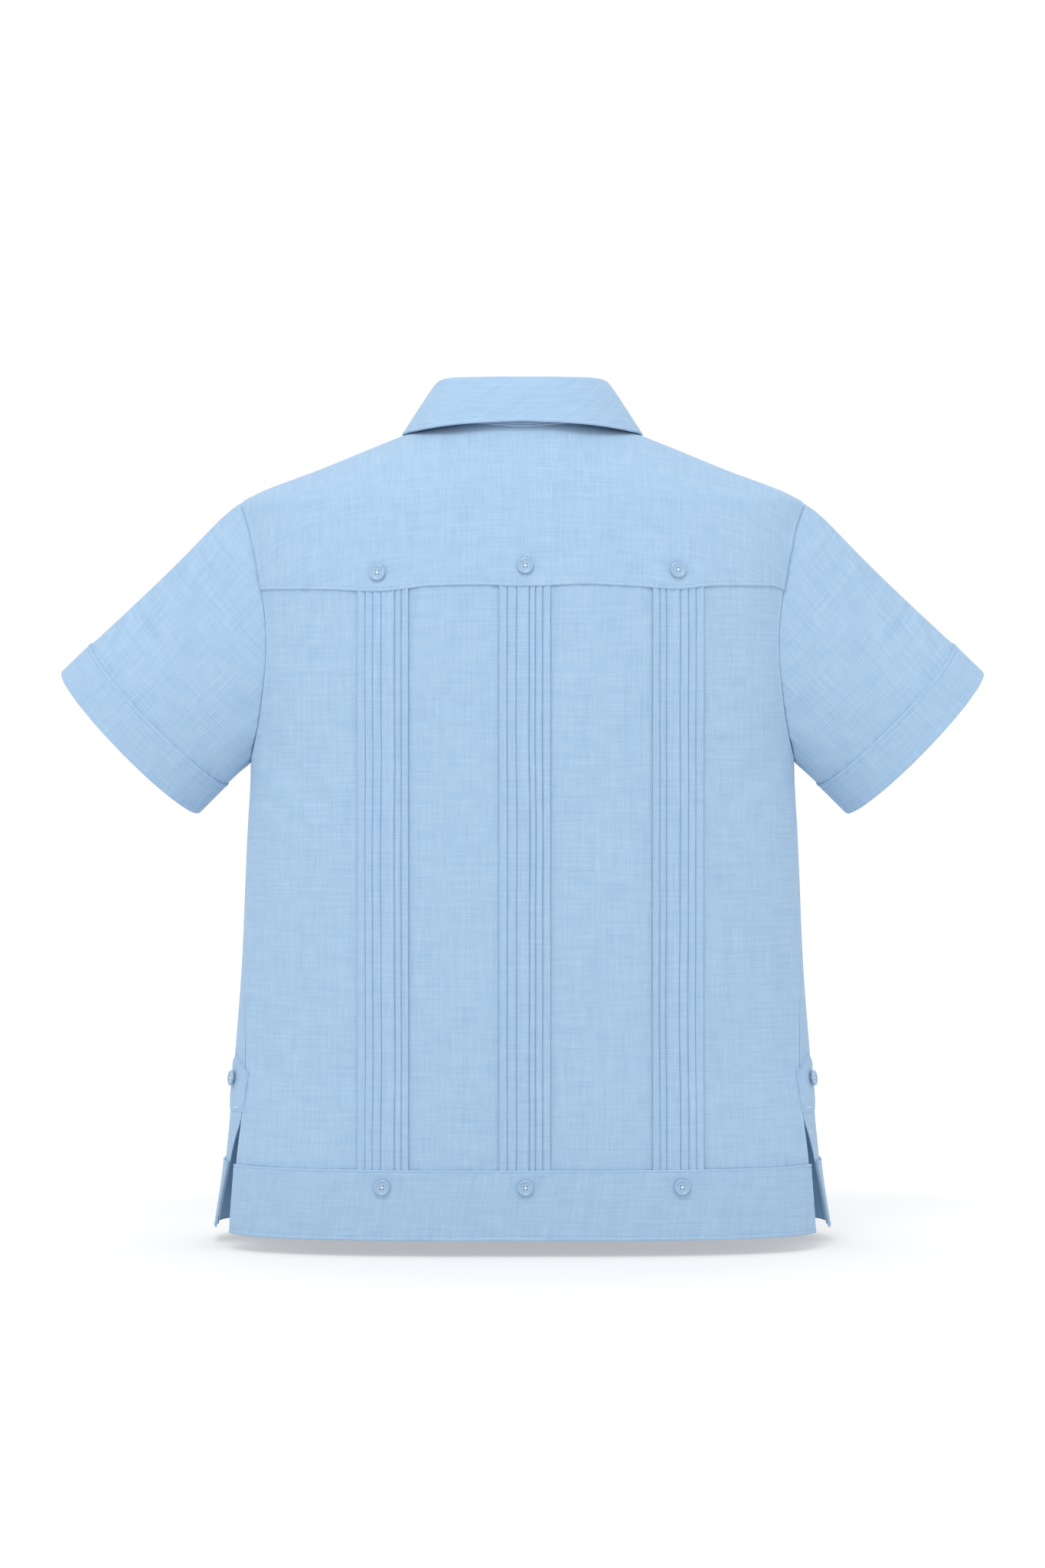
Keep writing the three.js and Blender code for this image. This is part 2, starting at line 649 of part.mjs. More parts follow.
/** A four-hole button, face up, with its back at z = 0. */
function buttonGeometry() {
  const { radius, thick, rim, dish, hole, spacing } = BUTTON;
  const profile = [
    [0, 0],
    [radius - 0.8, 0],
    [radius, thick * 0.45],
    [radius - 0.5, thick],
    [radius - rim, thick],
    [radius - rim - 0.9, thick - dish],
    [0, thick - dish],
  ].map(([x, y]) => new THREE.Vector2(x, y));
  const body = new THREE.LatheGeometry(profile, 14).rotateX(Math.PI / 2);
  let solid = toSolid(body);
  for (const x of [-1, 1]) {
    for (const y of [-1, 1]) {
      const drill = new THREE.CylinderGeometry(hole, hole, thick * 3, 6).rotateX(Math.PI / 2);
      drill.translate((x * spacing) / 2, (y * spacing) / 2, 0);
      solid = solid.subtract(toSolid(drill));
    }
  }
  return fromSolid(solid);
}

const buttonShape = buttonGeometry();

/** A button on a spot, held off it by its thread shank. */
function addButton(name, { point, normal }, off) {
  const mesh = add(name, buttonShape.clone(), COLOURS.button, 0.3);
  mesh.position.copy(point).addScaledVector(normal, off);
  mesh.quaternion.setFromUnitVectors(new THREE.Vector3(0, 0, 1), normal);
}

// ---- the shirt ----

addCloth('back_panel', backPanel());
addCloth('yoke', yoke());
addCloth('front_left', frontPanel(PLACKET.underlap + 2 * SEAM));
addCloth('front_right', mirrored(frontPanel(-PLACKET.underlap)));
const sleeveSolid = sleeve();
addCloth('sleeve_left', sleeveSolid);
addCloth('sleeve_right', mirrored(sleeveSolid));
const cuffSolid = cuff();
addCloth('cuff_left', cuffSolid);
addCloth('cuff_right', mirrored(cuffSolid));
for (const band of BACK_BANDS) addCloth(band.name, tuckBand(band.x, BAND_HEIGHTS_BACK, false));
const frontBand = tuckBand(FRONT_BAND_X, frontBandHeights(FRONT_BAND_X), true);
addCloth('tuck_band_front_left', frontBand);
addCloth('tuck_band_front_right', mirrored(frontBand));
addCloth('hem_band_back', backHemBand());
const frontHem = frontHemBand();
addCloth('hem_band_front_left', frontHem);
addCloth('hem_band_front_right', mirrored(frontHem));
addCloth('placket', placket());
const tab = sideTab();
addCloth('side_tab_left', tab);
addCloth('side_tab_right', mirrored(tab));
addCloth('collar_stand', stand());
addCloth('collar_leaf', leaf());

const YOKE_BUTTONS = [
  { name: 'button_yoke_left', x: 125, z: -117.5 },
  { name: 'button_yoke_centre', x: -2.3, z: -112 },
  { name: 'button_yoke_right', x: -134, z: -115 },
];
for (const { name, x, z } of YOKE_BUTTONS) addButton(name, bodySpot(turnAt(x, z), z), 0.6);

const HEM_BUTTONS = [
  { name: 'button_hem_left', x: 121 },
  { name: 'button_hem_centre', x: -2.5 },
  { name: 'button_hem_right', x: -137.5 },
];
const HEM_BUTTON_Z = -648;
for (const { name, x } of HEM_BUTTONS) {
  addButton(name, bodySpot(turnAt(x, HEM_BUTTON_Z), HEM_BUTTON_Z), LAY + BAND + 0.6);
}

const TAB_BUTTON_Z = -560;
const tabSpot = bodySpot(TAB.turn, TAB_BUTTON_Z);
addButton('button_side_left', tabSpot, LAY + BAND + TAB.lift + 0.6);
addButton('button_side_right', flip(tabSpot), LAY + BAND + TAB.lift + 0.6);

const FRONT_BUTTONS = 6;
spaced(FRONT_NECK_Z - 50, -560, FRONT_BUTTONS - 1).forEach((z, n) => {
  addButton(`button_front_${n + 1}`, bodySpot(-90, z, true), LAY + BAND + 1.1);
});

export default shirt;
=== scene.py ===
"""A short-sleeved guayabera shirt, filled out as if worn, with nobody in it."""
import math

import bpy
import numpy as np
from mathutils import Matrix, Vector


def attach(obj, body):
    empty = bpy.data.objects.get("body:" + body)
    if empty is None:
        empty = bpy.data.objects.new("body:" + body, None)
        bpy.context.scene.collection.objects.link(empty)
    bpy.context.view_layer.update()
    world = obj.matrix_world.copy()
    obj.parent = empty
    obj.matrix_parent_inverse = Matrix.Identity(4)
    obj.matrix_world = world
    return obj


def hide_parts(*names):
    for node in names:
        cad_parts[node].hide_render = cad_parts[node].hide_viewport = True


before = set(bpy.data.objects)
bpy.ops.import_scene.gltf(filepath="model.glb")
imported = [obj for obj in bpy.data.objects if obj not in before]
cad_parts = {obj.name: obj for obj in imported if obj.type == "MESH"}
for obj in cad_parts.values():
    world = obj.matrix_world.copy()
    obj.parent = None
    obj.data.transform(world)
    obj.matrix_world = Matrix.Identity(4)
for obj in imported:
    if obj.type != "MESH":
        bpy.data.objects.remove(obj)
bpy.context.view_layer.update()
MM = 0.001

# ---- sizes in millimetres, in the shirt's own frame: the front faces -Y and the wearer's left is +X ----
THICK = {"cloth": 0.9, "yoke": 1.1, "cuff": 1.7, "hem": 1.5, "placket": 1.3, "tab": 1.0, "collar": 1.3}
YOKE_LIFT = 1.2
YOKE_LIFT_ABOVE = 0.2
BAND_LIFT = 0.5
HEM_LIFT = 1.9
CUFF_LIFT = 1.1
PLACKET_LIFT = 2.1
TAB_LIFT = 1.3
HEM = -694
YOKE_SEAM = -130
HEM_BAND_TOP = -633
PANEL_END = -691
ARMHOLE = {"z": -164.5, "half_height": 115.5, "half_depth": 51}
FRONT_YOKE_ARM = 38.9
UNDERARM = ARMHOLE["z"] - ARMHOLE["half_height"]
NECK = {"half": 76, "back": 68, "front": 66}
FRONT_YOKE_NECK = -38
CUFF_SEAM = {"x": 324.4, "y": -12, "z": -238, "tall": 86.5, "deep": 43}
CUFF_HEM = {"x": 350.6, "y": -19.5, "z": -263, "tall": 87, "deep": 45}
SLEEVE_SLOPE = 46
FULLNESS = {"rise": 3.6, "share": 0.13}
BAND_WIDTH = 44
FRONT_BAND_X = 92
PLACKET_HALF = 16
UNDERLAP = 13.5
TAB = {"turn": 10, "reach": 11.5, "tip": -540, "foot": -588, "point": 14, "blunt": 0.05}
BAR_TACK = {"behind": 6, "up": 3.5, "lift": 1.3, "length": 9, "count": 12}
BAND_SWELL = {"yoke": 1.5, "yoke_reach": 3.5, "hem": 1.0, "hem_reach": 3.0, "down": 13}
STITCH = {"pitch": 2.3, "dash": 1.45, "radius": 0.24}
STITCH_SINK = 0.25

# How far each row of stitches runs from its edge.
SEAM_ROW = 2.6
FOOT_ROW = 3.3
PLACKET_ROW = 4
CUFF_ROW = 4.6
LEAF_ROW = 4.8
TAB_ROW = 2.2
NARROW_ROW = 2.0

# The tucks of a band, from its edge on the wearer's left (0) to the other (1): where each fold's edge
# lies and which way it faces, then the rows of stitches.
SIDE_BAND = {
    "folds": [(0.0, -1), (0.16, -1), (0.31, -1), (0.475, -1), (0.72, 1), (0.85, 1), (1.0, 1)],
    "stitches": [0.125, 0.66],
}
CENTRE_BAND = {
    "folds": [(0.0, -1), (0.17, -1), (0.35, -1), (0.58, 1), (0.70, 1), (0.84, 1), (1.0, 1)],
    "stitches": [0.09, 0.49],
}
BACK_BANDS = [
    {"name": "tuck_band_back_left", "x": 120.5, "turned": False, "pattern": SIDE_BAND},
    {"name": "tuck_band_back_centre", "x": -2, "turned": False, "pattern": CENTRE_BAND},
    {"name": "tuck_band_back_right", "x": -134.5, "turned": True, "pattern": SIDE_BAND},
]


def table(columns, *rows):
    """A table as sorted arrays, to be looked up by its first column."""
    rows = sorted(rows)
    return {name: np.array([row[n] for row in rows], float) for n, name in enumerate(columns)}


SECTIONS = table(
    ("z", "half", "back", "front", "power", "flare", "shift"),
    (40, 52, 48, 34, 2.0, 0, 0),
    (21, 75, 62, 45, 2.0, 0, 0),
    (8.5, 107, 71, 52, 2.0, 0, 0),
    (-3.5, 137, 77, 56, 2.0, 0, 0),
    (-20, 177, 84, 60, 2.05, 0, 0),
    (-44, 237, 92, 67, 2.1, 0, 0),
    (-54, 250, 94, 72, 2.15, 0, 0),
    (-90, 249, 101, 88, 2.3, 0, 0),
    (-130, 246, 105, 98, 2.4, 0, 0),
    (-200, 242, 106, 105, 2.4, 0, 0),
    (-280, 241.3, 104, 105, 2.2, 0, 0),
    (-352, 244.8, 102, 103, 2.15, 0, 0),
    (-461, 249.6, 101, 101, 2.1, 0, 0),
    (-542, 255.7, 102, 101, 2.2, 0, 0),
    (-590, 259.5, 104, 100, 2.5, 0, 0),
    (-633, 261.5, 105, 95, 2.9, 2.5, -12),
    (-700, 262, 106, 86, 3.0, 13, -35),
)
SIDE_EDGES = table(
    ("z", "back", "front"),
    (-280, 0.15, -0.15),
    (-435, 9.2, 8.9),
    (-590, 20.5, 20.2),
    (-612, 20.3, 17.2),
    (-635, 19.4, 14.1),
    (-656, 17.9, 11.3),
    (-700, 14.6, 8.8),
)
YOKE_EDGE = table(
    ("x", "z"),
    (226, -130), (175, -131.3), (125, -133.7), (78, -129.2), (39, -128.4), (-1, -129.7),
    (-54, -127.7), (-91, -129), (-132, -131.7), (-168, -128.2), (-226, -127),
)
COLLAR = table(
    ("turn", "fold_half", "fold_deep", "fold_z", "edge_x", "edge_y", "edge_z"),
    (90, 73, 60, 54.5, 0, 78, 16),
    (60, 73, 60, 55.2, 54, 71, 14),
    (30, 73, 60, 56.5, 92, 44, 11),
    (0, 73, 60, 55.5, 107, 2, 10),
    (-30, 73, 58, 41, 107, -43, -3),
    (-60, 73, 58, 14, 88, -79, -46),
    (-84, 73, 58, -6, 62, -93, -76),
)


def follow(rows, key, at, column):
    """A smooth curve through one column of a table, with no overshoot."""
    x, y = rows[key], rows[column]
    at = np.clip(np.asarray(at, float), x[0], x[-1])
    width = np.diff(x)
    slope = np.diff(y) / width
    before, after = slope[:-1], slope[1:]
    total = np.where(before + after == 0, 1, before + after)
    inner = np.where(before * after > 0, 2 * before * after / total, 0)
    tangent = np.concatenate([[slope[0]], inner, [slope[-1]]])
    k = np.clip(np.searchsorted(x, at, side="right") - 1, 0, len(width) - 1)
    t = (at - x[k]) / width[k]
    rest = 1 - t
    return (
        y[k] * (1 + 2 * t) * rest**2
        + tangent[k] * width[k] * t * rest**2
        + y[k + 1] * t**2 * (3 - 2 * t)
        - tangent[k + 1] * width[k] * t**2 * rest
    )


def size_at(z, column):
    return follow(SECTIONS, "z", z, column)


def signed_power(value, power):
    return np.sign(value) * np.abs(value) ** power


def on_body(turn, z, skirt=False):
    """Points of the body's outer face. Turn 0 is the wearer's left side and 90 the middle of the back."""
    turn, z = np.broadcast_arrays(np.asarray(turn, float), np.asarray(z, float))
    power = 2 / size_at(z, "power")
    half = size_at(z, "half") + (size_at(z, "flare") if skirt else 0)
    sine = np.sin(np.radians(turn))
    depth = np.where(sine > 0, size_at(z, "back"), size_at(z, "front"))
    x = half * signed_power(np.cos(np.radians(turn)), power)
    y = depth * signed_power(sine, power) + (size_at(z, "shift") if skirt else 0)
    return np.stack([x, y, z], -1)


def spots(surface, u, v, core, step=0.05):
    """Points of a surface f(u, v), and unit normals that face away from the core."""
    u, v = np.broadcast_arrays(np.asarray(u, float), np.asarray(v, float))
    along = surface(u + step, v) - surface(u - step, v)
    across = surface(u, v + step) - surface(u, v - step)
    normal = np.cross(along, across)
    normal /= np.maximum(np.linalg.norm(normal, axis=-1, keepdims=True), 1e-12)
    point = surface(u, v)
    facing = (normal * (point - core)).sum(-1, keepdims=True)
    return point, np.where(facing < 0, -normal, normal)


CHEST = -250.0


def body_spots(turn, z, skirt=False):
    """Places on the body and their normals, which face away from its upright axis below the chest."""
    turn, z = np.broadcast_arrays(np.asarray(turn, float), np.asarray(z, float))
    core = np.stack([0 * z, 0 * z, np.minimum(z, CHEST)], -1)
    return spots(lambda a, b: on_body(a, b, skirt), turn, z, core)


def turn_at(x, z, front=False):
    """The turn of the places at x on the back or the front at height z."""
    share = np.minimum(np.abs(x) / size_at(z, "half"), 1)
    turn = np.degrees(np.arccos(share ** (size_at(z, "power") / 2))) * (-1 if front else 1)
    return np.where(np.asarray(x) >= 0, turn, (-180 if front else 180) - turn)


def turn_at_depth(y, z):
    depth = np.where(np.asarray(y) > 0, size_at(z, "back"), size_at(z, "front"))
    share = np.minimum(np.abs(y) / depth, 1)
    return np.sign(y) * np.degrees(np.arcsin(share ** (size_at(z, "power") / 2)))


def body_above(x, y):
    """The turn and height of the body's places straight above (x, y) in plan."""
    x, y = np.broadcast_arrays(np.asarray(x, float), np.asarray(y, float))
    low = np.full(x.shape, float(ARMHOLE["z"]))
    high = np.full(x.shape, float(SECTIONS["z"][-1]))
    for _ in range(40):
        z = (low + high) / 2
        power = size_at(z, "power")
        depth = np.where(y > 0, size_at(z, "back"), size_at(z, "front"))
        outside = (np.abs(x) / size_at(z, "half")) ** power + (np.abs(y) / depth) ** power > 1
        high = np.where(outside, z, high)
        low = np.where(outside, low, z)
    turn = turn_at_depth(y, low)
    return np.where(x >= 0, turn, np.sign(y) * 180 - turn), low


def neckline(turn):
    """The neckline's places, by their turn round the neck's own oval."""
    sine = np.sin(np.radians(turn))
    x = NECK["half"] * np.cos(np.radians(turn))
    return body_above(x, sine * np.where(sine > 0, NECK["back"], NECK["front"]))


def armhole(around):
    """The armhole's places. Around is 90 at the top, 0 behind and 180 in front."""
    z = ARMHOLE["z"] + ARMHOLE["half_height"] * np.sin(np.radians(around))
    y = ARMHOLE["half_depth"] * np.cos(np.radians(around))
    return np.where(np.abs(y) < 1e-6, 0, turn_at_depth(y, z)), z


opening_up = np.array([math.cos(math.radians(SLEEVE_SLOPE)), 0, math.sin(math.radians(SLEEVE_SLOPE))])
sleeve_along = np.array([CUFF_HEM[k] - CUFF_SEAM[k] for k in "xyz"])
sleeve_along /= np.linalg.norm(sleeve_along)
opening_back = np.cross(opening_up, sleeve_along)
opening_back *= np.sign(opening_back[1]) / np.linalg.norm(opening_back)


def opening_point(opening, around):
    around = np.radians(np.asarray(around, float))[..., None]
    centre = np.array([opening[k] for k in "xyz"], float)
    centre = centre + opening_up * opening["tall"] * np.sin(around)
    return centre + opening_back * opening["deep"] * np.cos(around)


SLEEVE_CORE = np.array([290, -5, -205.0])
SLEEVE_STEP = 0.01
CUFF_CORE = np.array([(CUFF_SEAM[k] + CUFF_HEM[k]) / 2 for k in "xyz"])


def on_sleeve(around, along):
    """The left sleeve, from 0 at the armhole to 1 at the cuff seam."""
    start = on_body(*armhole(around))
    end = opening_point(CUFF_SEAM, around)
    reach = np.maximum(along, 0) / FULLNESS["share"]
    fullness = FULLNESS["rise"] * reach * np.exp(1 - reach) * np.maximum(np.sin(np.radians(around)), 0)
    return start + (end - start) * along[..., None] + opening_up * fullness[..., None]


def on_cuff(around, share):
    start, end = opening_point(CUFF_SEAM, around), opening_point(CUFF_HEM, around)
    return start + (end - start) * share[..., None]


def mirror(spot):
    point, normal = spot
    flip = np.array([-1, 1, 1])
    return point * flip, normal * flip


def sided(spot, flip):
    """The spot as it is for the wearer's left, or mirrored for the right."""
    return mirror(spot) if flip else spot


def graded(count, length, start=True, end=True, fine=0.4, margin=5.0):
    """Shares from 0 to 1, close together near the ends that have a stitched edge."""
    close = np.arange(0, margin, fine) / length
    first = close if start else np.array([])
    last = 1 - close[::-1] if end else np.array([])
    middle = np.linspace(margin / length if start else 0, 1 - margin / length if end else 1, count)
    return np.unique(np.concatenate([first, middle, last]).round(7))


# ---- relief of the cloth: how far its face stands off the plain form ----


def near(distance, reach):
    """1 at no distance, dying away smoothly past the reach."""
    return np.exp(-((distance / reach) ** 2))


WAVE = {"shares": (0.61, 1.0, 1.7), "phase": 6.28, "size": 2.5}


def wave(along, seed, pitch=8.0):
    """An uneven ripple along a seam."""
    rng = np.random.default_rng(seed)
    total = 0
    for share in WAVE["shares"]:
        phase = rng.uniform(0, WAVE["phase"])
        total = total + np.sin(2 * np.pi * along / (pitch * share) + phase) * share**0.5
    return total / WAVE["size"]


def seam_ripple(distance, along, seed, pitch, size, reach):
    """The ripple that a seam draws into the cloth beside it."""
    return size * wave(along, seed, pitch) * near(distance, reach)


EDGE = {
    "bead": 0.28, "bead_at": 0.45, "bead_reach": 0.42,
    "groove": 0.42, "groove_reach": 0.5,
    "ripple_reach": 6.0,
    "fold": 0.3, "fold_reach": 0.3,
}


def stitched_edge(distance, along, seed, row=SEAM_ROW, pucker=0.2):
    """A turned edge: a rounded bead, a trough under the stitches, and puckers that die away."""
    bead = EDGE["bead"] * near(distance - row * EDGE["bead_at"], row * EDGE["bead_reach"])
    groove = -EDGE["groove"] * near(distance - row, EDGE["groove_reach"])
    ripple = pucker * wave(along, seed) * near(distance - row, EDGE["ripple_reach"])
    fold = -EDGE["fold"] * near(distance, EDGE["fold_reach"])
    return bead + groove + ripple + fold


def rim_distances(point):
    """For each spot of a grid, how far it is from the first and last row and the first and last column."""
    rows = np.linalg.norm(np.diff(point, axis=0), axis=-1).cumsum(0)
    rows = np.concatenate([np.zeros((1, point.shape[1])), rows])
    columns = np.linalg.norm(np.diff(point, axis=1), axis=-1).cumsum(1)
    columns = np.concatenate([np.zeros((point.shape[0], 1)), columns], 1)
    return rows, rows[-1:] - rows, columns, columns[:, -1:] - columns


TROUGH = {"fade": 0.8, "bank": 0.45, "bank_at": 1.7}


def trough(x, z, start, end, width, depth):
    """A soft trough with low banks, along a straight line from start to end, fading at both ends."""
    a, b = np.array(start, float), np.array(end, float)
    line = b - a
    length = np.linalg.norm(line)
    along = ((x - a[0]) * line[0] + (z - a[1]) * line[1]) / length
    across = (-(x - a[0]) * line[1] + (z - a[1]) * line[0]) / length
    fade = np.sin(np.pi * np.clip(along / length, 0, 1)) ** TROUGH["fade"]
    bank = TROUGH["bank"] * near(np.abs(across) - TROUGH["bank_at"] * width, width)
    return depth * (bank - near(across, width)) * fade


# Each crease runs from one (x, z) to another, with its width and depth.
BACK_CREASES = [
    ((172, -133), (202, -215), 6, 1.3),
    ((155, -136), (205, -262), 10, 1.2),
    ((-163, -134), (-200, -218), 7, 0.9),
    ((232, -262), (150, -345), 11, 1.2),
    ((236, -300), (178, -352), 8, 0.8),
    ((-232, -262), (-160, -338), 12, 1.1),
    ((-236, -290), (-190, -352), 8, 0.7),
    ((58, -150), (70, -330), 14, 0.5),
    ((-60, -190), (-74, -420), 16, 0.5),
    ((62, -470), (55, -628), 12, 0.6),
    ((-70, -440), (-62, -628), 14, 0.6),
    ((186, -420), (203, -626), 14, 0.9),
    ((-186, -400), (-206, -626), 15, 0.9),
    ((225, -380), (232, -560), 8, 0.7),
    ((-228, -400), (-234, -575), 8, 0.7),
]
FRONT_CREASES = [
    ((175, -120), (205, -250), 10, 1.3),
    ((150, -110), (178, -210), 8, 0.9),
    ((232, -268), (150, -350), 12, 1.2),
    ((236, -310), (182, -372), 8, 0.8),
    ((50, -90), (60, -300), 12, 0.6),
    ((55, -420), (48, -625), 13, 0.8),
    ((150, -430), (170, -640), 15, 1.0),
    ((205, -400), (226, -640), 12, 0.9),
]

# Creases that run down a sleeve from the armhole: their turn round the sleeve, sway and depth.
SLEEVE_CREASES = [(-38, 16, 1.6), (-62, 9, 1.3), (22, 20, 0.9), (215, 14, 1.5), (245, 9, 1.2)]
SLEEVE_CREASE = {"width": 9, "reach": 0.55}


def creases(point, rows):
    return sum(trough(point[..., 0], point[..., 2], *row) for row in rows)


# ---- meshes ----


SHARP = 60
SLOPE_STRETCH = 0.8


def make_object(name, points, faces, material, uv=None, smooth=True):
    mesh = bpy.data.meshes.new(name)
    mesh.from_pydata((np.asarray(points) * MM).tolist(), [], faces)
    if uv is not None:
        layer = mesh.uv_layers.new(name="cloth")
        index = np.zeros(len(mesh.loops), np.int32)
        mesh.loops.foreach_get("vertex_index", index)
        layer.data.foreach_set("uv", (np.asarray(uv)[index] * MM).astype(np.float32).ravel())
    if smooth:
        mesh.polygons.foreach_set("use_smooth", np.ones(len(mesh.polygons), bool))
        mesh.set_sharp_from_angle(angle=math.radians(SHARP))
    mesh.materials.append(material)
    mesh.update()
    piece = bpy.data.objects.new(name, mesh)
    bpy.context.scene.collection.objects.link(piece)
    return piece


def shell(name, spot, height, thick=THICK["cloth"], wrap=False, grain=None):
    """A sheet of cloth with two faces, its outer one standing off a grid of spots by the height.

    The grain is upright, or two directions for the threads, or else it follows the grid.
    """
    point, normal = spot
    rows, columns = point.shape[:2]
    outer = point + normal * np.broadcast_to(np.asarray(height, float), (rows, columns))[..., None]
    inner = outer - normal * thick
    number = np.arange(rows * columns).reshape(rows, columns)
    if wrap:
        number = np.concatenate([number, number[:, :1]], 1)
    quads = np.stack([number[:-1, :-1], number[:-1, 1:], number[1:, 1:], number[1:, :-1]], -1).reshape(-1, 4)
    shift = rows * columns
    facing = np.cross(outer[0, 1] - outer[0, 0], outer[1, 0] - outer[0, 0]) @ normal[0, 0] > 0
    faces = [quads, quads[:, ::-1] + shift]
    rims = [number[0][::-1], number[-1]] + ([] if wrap else [number[:, 0], number[::-1, -1]])
    faces += [np.stack([line[:-1], line[1:], line[1:] + shift, line[:-1] + shift], -1) for line in rims]
    faces = np.concatenate(faces)
    if not facing:
        faces = faces[:, ::-1]
    from_top, _, from_side, _ = rim_distances(point)
    if grain == "upright":
        from_side = from_side - from_side[:, columns // 2 : columns // 2 + 1]
        from_top = point[..., 2] - SLOPE_STRETCH * point[..., 1] * (point[..., 2] > YOKE_SEAM)
    elif grain is not None:
        from_side, from_top = point @ grain[0], point @ grain[1]
    uv = np.stack([from_side, from_top], -1).reshape(-1, 2)
    points = np.concatenate([outer.reshape(-1, 3), inner.reshape(-1, 3)])
    piece = make_object(name, points, faces.tolist(), CHAMBRAY, np.concatenate([uv, uv]))
    # Painted shade: the inner faces take a darker copy of the same cloth, for the shade inside the shirt.
    piece.data.materials.append(INSIDE_PAINTED_SHADE)
    slots = np.zeros(len(faces), np.int32)
    slots[len(quads) : 2 * len(quads)] = 1
    piece.data.polygons.foreach_set("material_index", slots)
    return piece


# ---- materials ----


class Wire:
    """A shader socket that Python's operators work on."""

    def __init__(self, nodes, socket):
        self.nodes, self.socket = nodes, socket

    def math(self, operation, *others, clamp=False):
        settings = {"operation": operation, "use_clamp": clamp}
        return self.nodes.add("ShaderNodeMath", settings, dict(enumerate((self, *others))))

    def __add__(self, other):
        return self.math("ADD", other)

    def __sub__(self, other):
        return self.math("SUBTRACT", other)

    def __mul__(self, other):
        return self.math("MULTIPLY", other)

    def __rsub__(self, other):
        return self.nodes.add("ShaderNodeMath", {"operation": "SUBTRACT"}, {0: other, 1: self})

    __radd__ = __add__
    __rmul__ = __mul__


class Nodes:
    """The nodes of one material."""

    def __init__(self, name):
        self.material = bpy.data.materials.new(name)
        self.material.use_nodes = True
        self.tree = self.material.node_tree
        self.tree.nodes.clear()

    def add(self, kind, settings=None, sockets=None, output=0):
        node = self.tree.nodes.new(kind)
        for key, value in (settings or {}).items():
            setattr(node, key, value)
        for key, value in (sockets or {}).items():
            if isinstance(value, Wire):
                self.tree.links.new(value.socket, node.inputs[key])
            else:
                node.inputs[key].default_value = value
        return Wire(self, node.outputs[output]) if node.outputs else None

    def mix(self, share, first, second):
        return self.add("ShaderNodeMix", {"data_type": "RGBA"}, {0: share, 6: first, 7: second}, output=2)

    def noise(self, place, scale, detail=2.0):
        return self.add("ShaderNodeTexNoise", {}, {"Vector": place, "Scale": scale, "Detail": detail})

    def stretched(self, place, x, y):
        return self.add("ShaderNodeMapping", {}, {"Vector": place, "Scale": (x, y, 1)})

    def place(self):
        """The place on the object, in its own metres."""
        return self.add("ShaderNodeTexCoord", output=3)

    def finish(self, sockets):
        shader = self.add("ShaderNodeBsdfPrincipled", {}, sockets)
        self.add("ShaderNodeOutputMaterial", {}, {"Surface": shader})


# Spots to a metre across and along the cloth, for the threads and slubs that run each way.
WEFT, WARP = (30, 1300), (1300, 45)
WEFT_SLUB, WARP_SLUB = (14, 420), (420, 10)
MOTTLE_SPOTS = 70.0
CONTRAST = {"threads": 2.2, "slubs": 1.1, "mottle": 0.5}
WEAVE_BUMP = {"Strength": 0.35, "Distance": 0.0005}
CLOTH_FINISH = {"Roughness": 0.85, "Sheen Weight": 0.1, "Sheen Roughness": 0.5}


def cloth_material(name, light, dark):
    """Plain-woven cloth: uneven threads both ways, thicker slubs here and there, and a faint mottle."""
    nodes = Nodes(name)
    place = nodes.add("ShaderNodeUVMap", {"uv_map": "cloth"})
    ways = (WEFT, WARP, WEFT_SLUB, WARP_SLUB)
    weft, warp, weft_slub, warp_slub = (nodes.stretched(place, *way) for way in ways)
    threads = (nodes.noise(weft, 1.0) + nodes.noise(warp, 1.0)) * 0.5
    slubs = (nodes.noise(weft_slub, 1.0, 1.0) + nodes.noise(warp_slub, 1.0, 1.0)) * 0.5
    mottle = nodes.noise(place, MOTTLE_SPOTS, 3.0)
    share = (threads - 0.5) * CONTRAST["threads"] + (slubs - 0.5) * CONTRAST["slubs"]
    share = share + (mottle - 0.5) * CONTRAST["mottle"] + 0.5
    colour = nodes.mix(share.math("ADD", 0.0, clamp=True), dark, light)
    bump = nodes.add("ShaderNodeBump", {}, {"Height": threads + slubs, **WEAVE_BUMP})
    nodes.finish({"Base Color": colour, "Normal": bump, **CLOTH_FINISH})
    return nodes.material


CLOUD_SPOTS = 260.0


def smooth_material(name, light, dark, roughness, coat=0.0):
    """A plain finish with a slight unevenness, for buttons and thread."""
    nodes = Nodes(name)
    cloud = nodes.noise(nodes.place(), CLOUD_SPOTS)
    nodes.finish({"Base Color": nodes.mix(cloud, dark, light), "Roughness": roughness, "Coat Weight": coat})
    return nodes.material


CHAMBRAY = cloth_material("blue_chambray", (0.362, 0.527, 0.702, 1), (0.268, 0.413, 0.598, 1))
# A darker, bluer copy of the cloth for the inner faces: painted shade, since the cloth is the same on both
# sides.
INSIDE_PAINTED_SHADE = cloth_material("blue_chambray_inside_painted_shade", (0.22, 0.42, 0.64, 1), (0.15, 0.31, 0.52, 1))
THREAD = smooth_material("sewing_thread", (0.62, 0.78, 0.93, 1), (0.50, 0.67, 0.86, 1), 0.6)
BUTTON = smooth_material("dyed_button", (0.32, 0.47, 0.64, 1), (0.26, 0.41, 0.58, 1), 0.22, 0.35)
BUTTON_THREAD = smooth_material("button_thread", (0.95, 0.95, 0.93, 1), (0.80, 0.86, 0.90, 1), 0.6)
# Dark discs for the button's holes: painted shade where the holes are.
HOLE_PAINTED_SHADE = smooth_material("button_hole_painted_shade", (0.10, 0.20, 0.32, 1), (0.07, 0.15, 0.26, 1), 0.9)

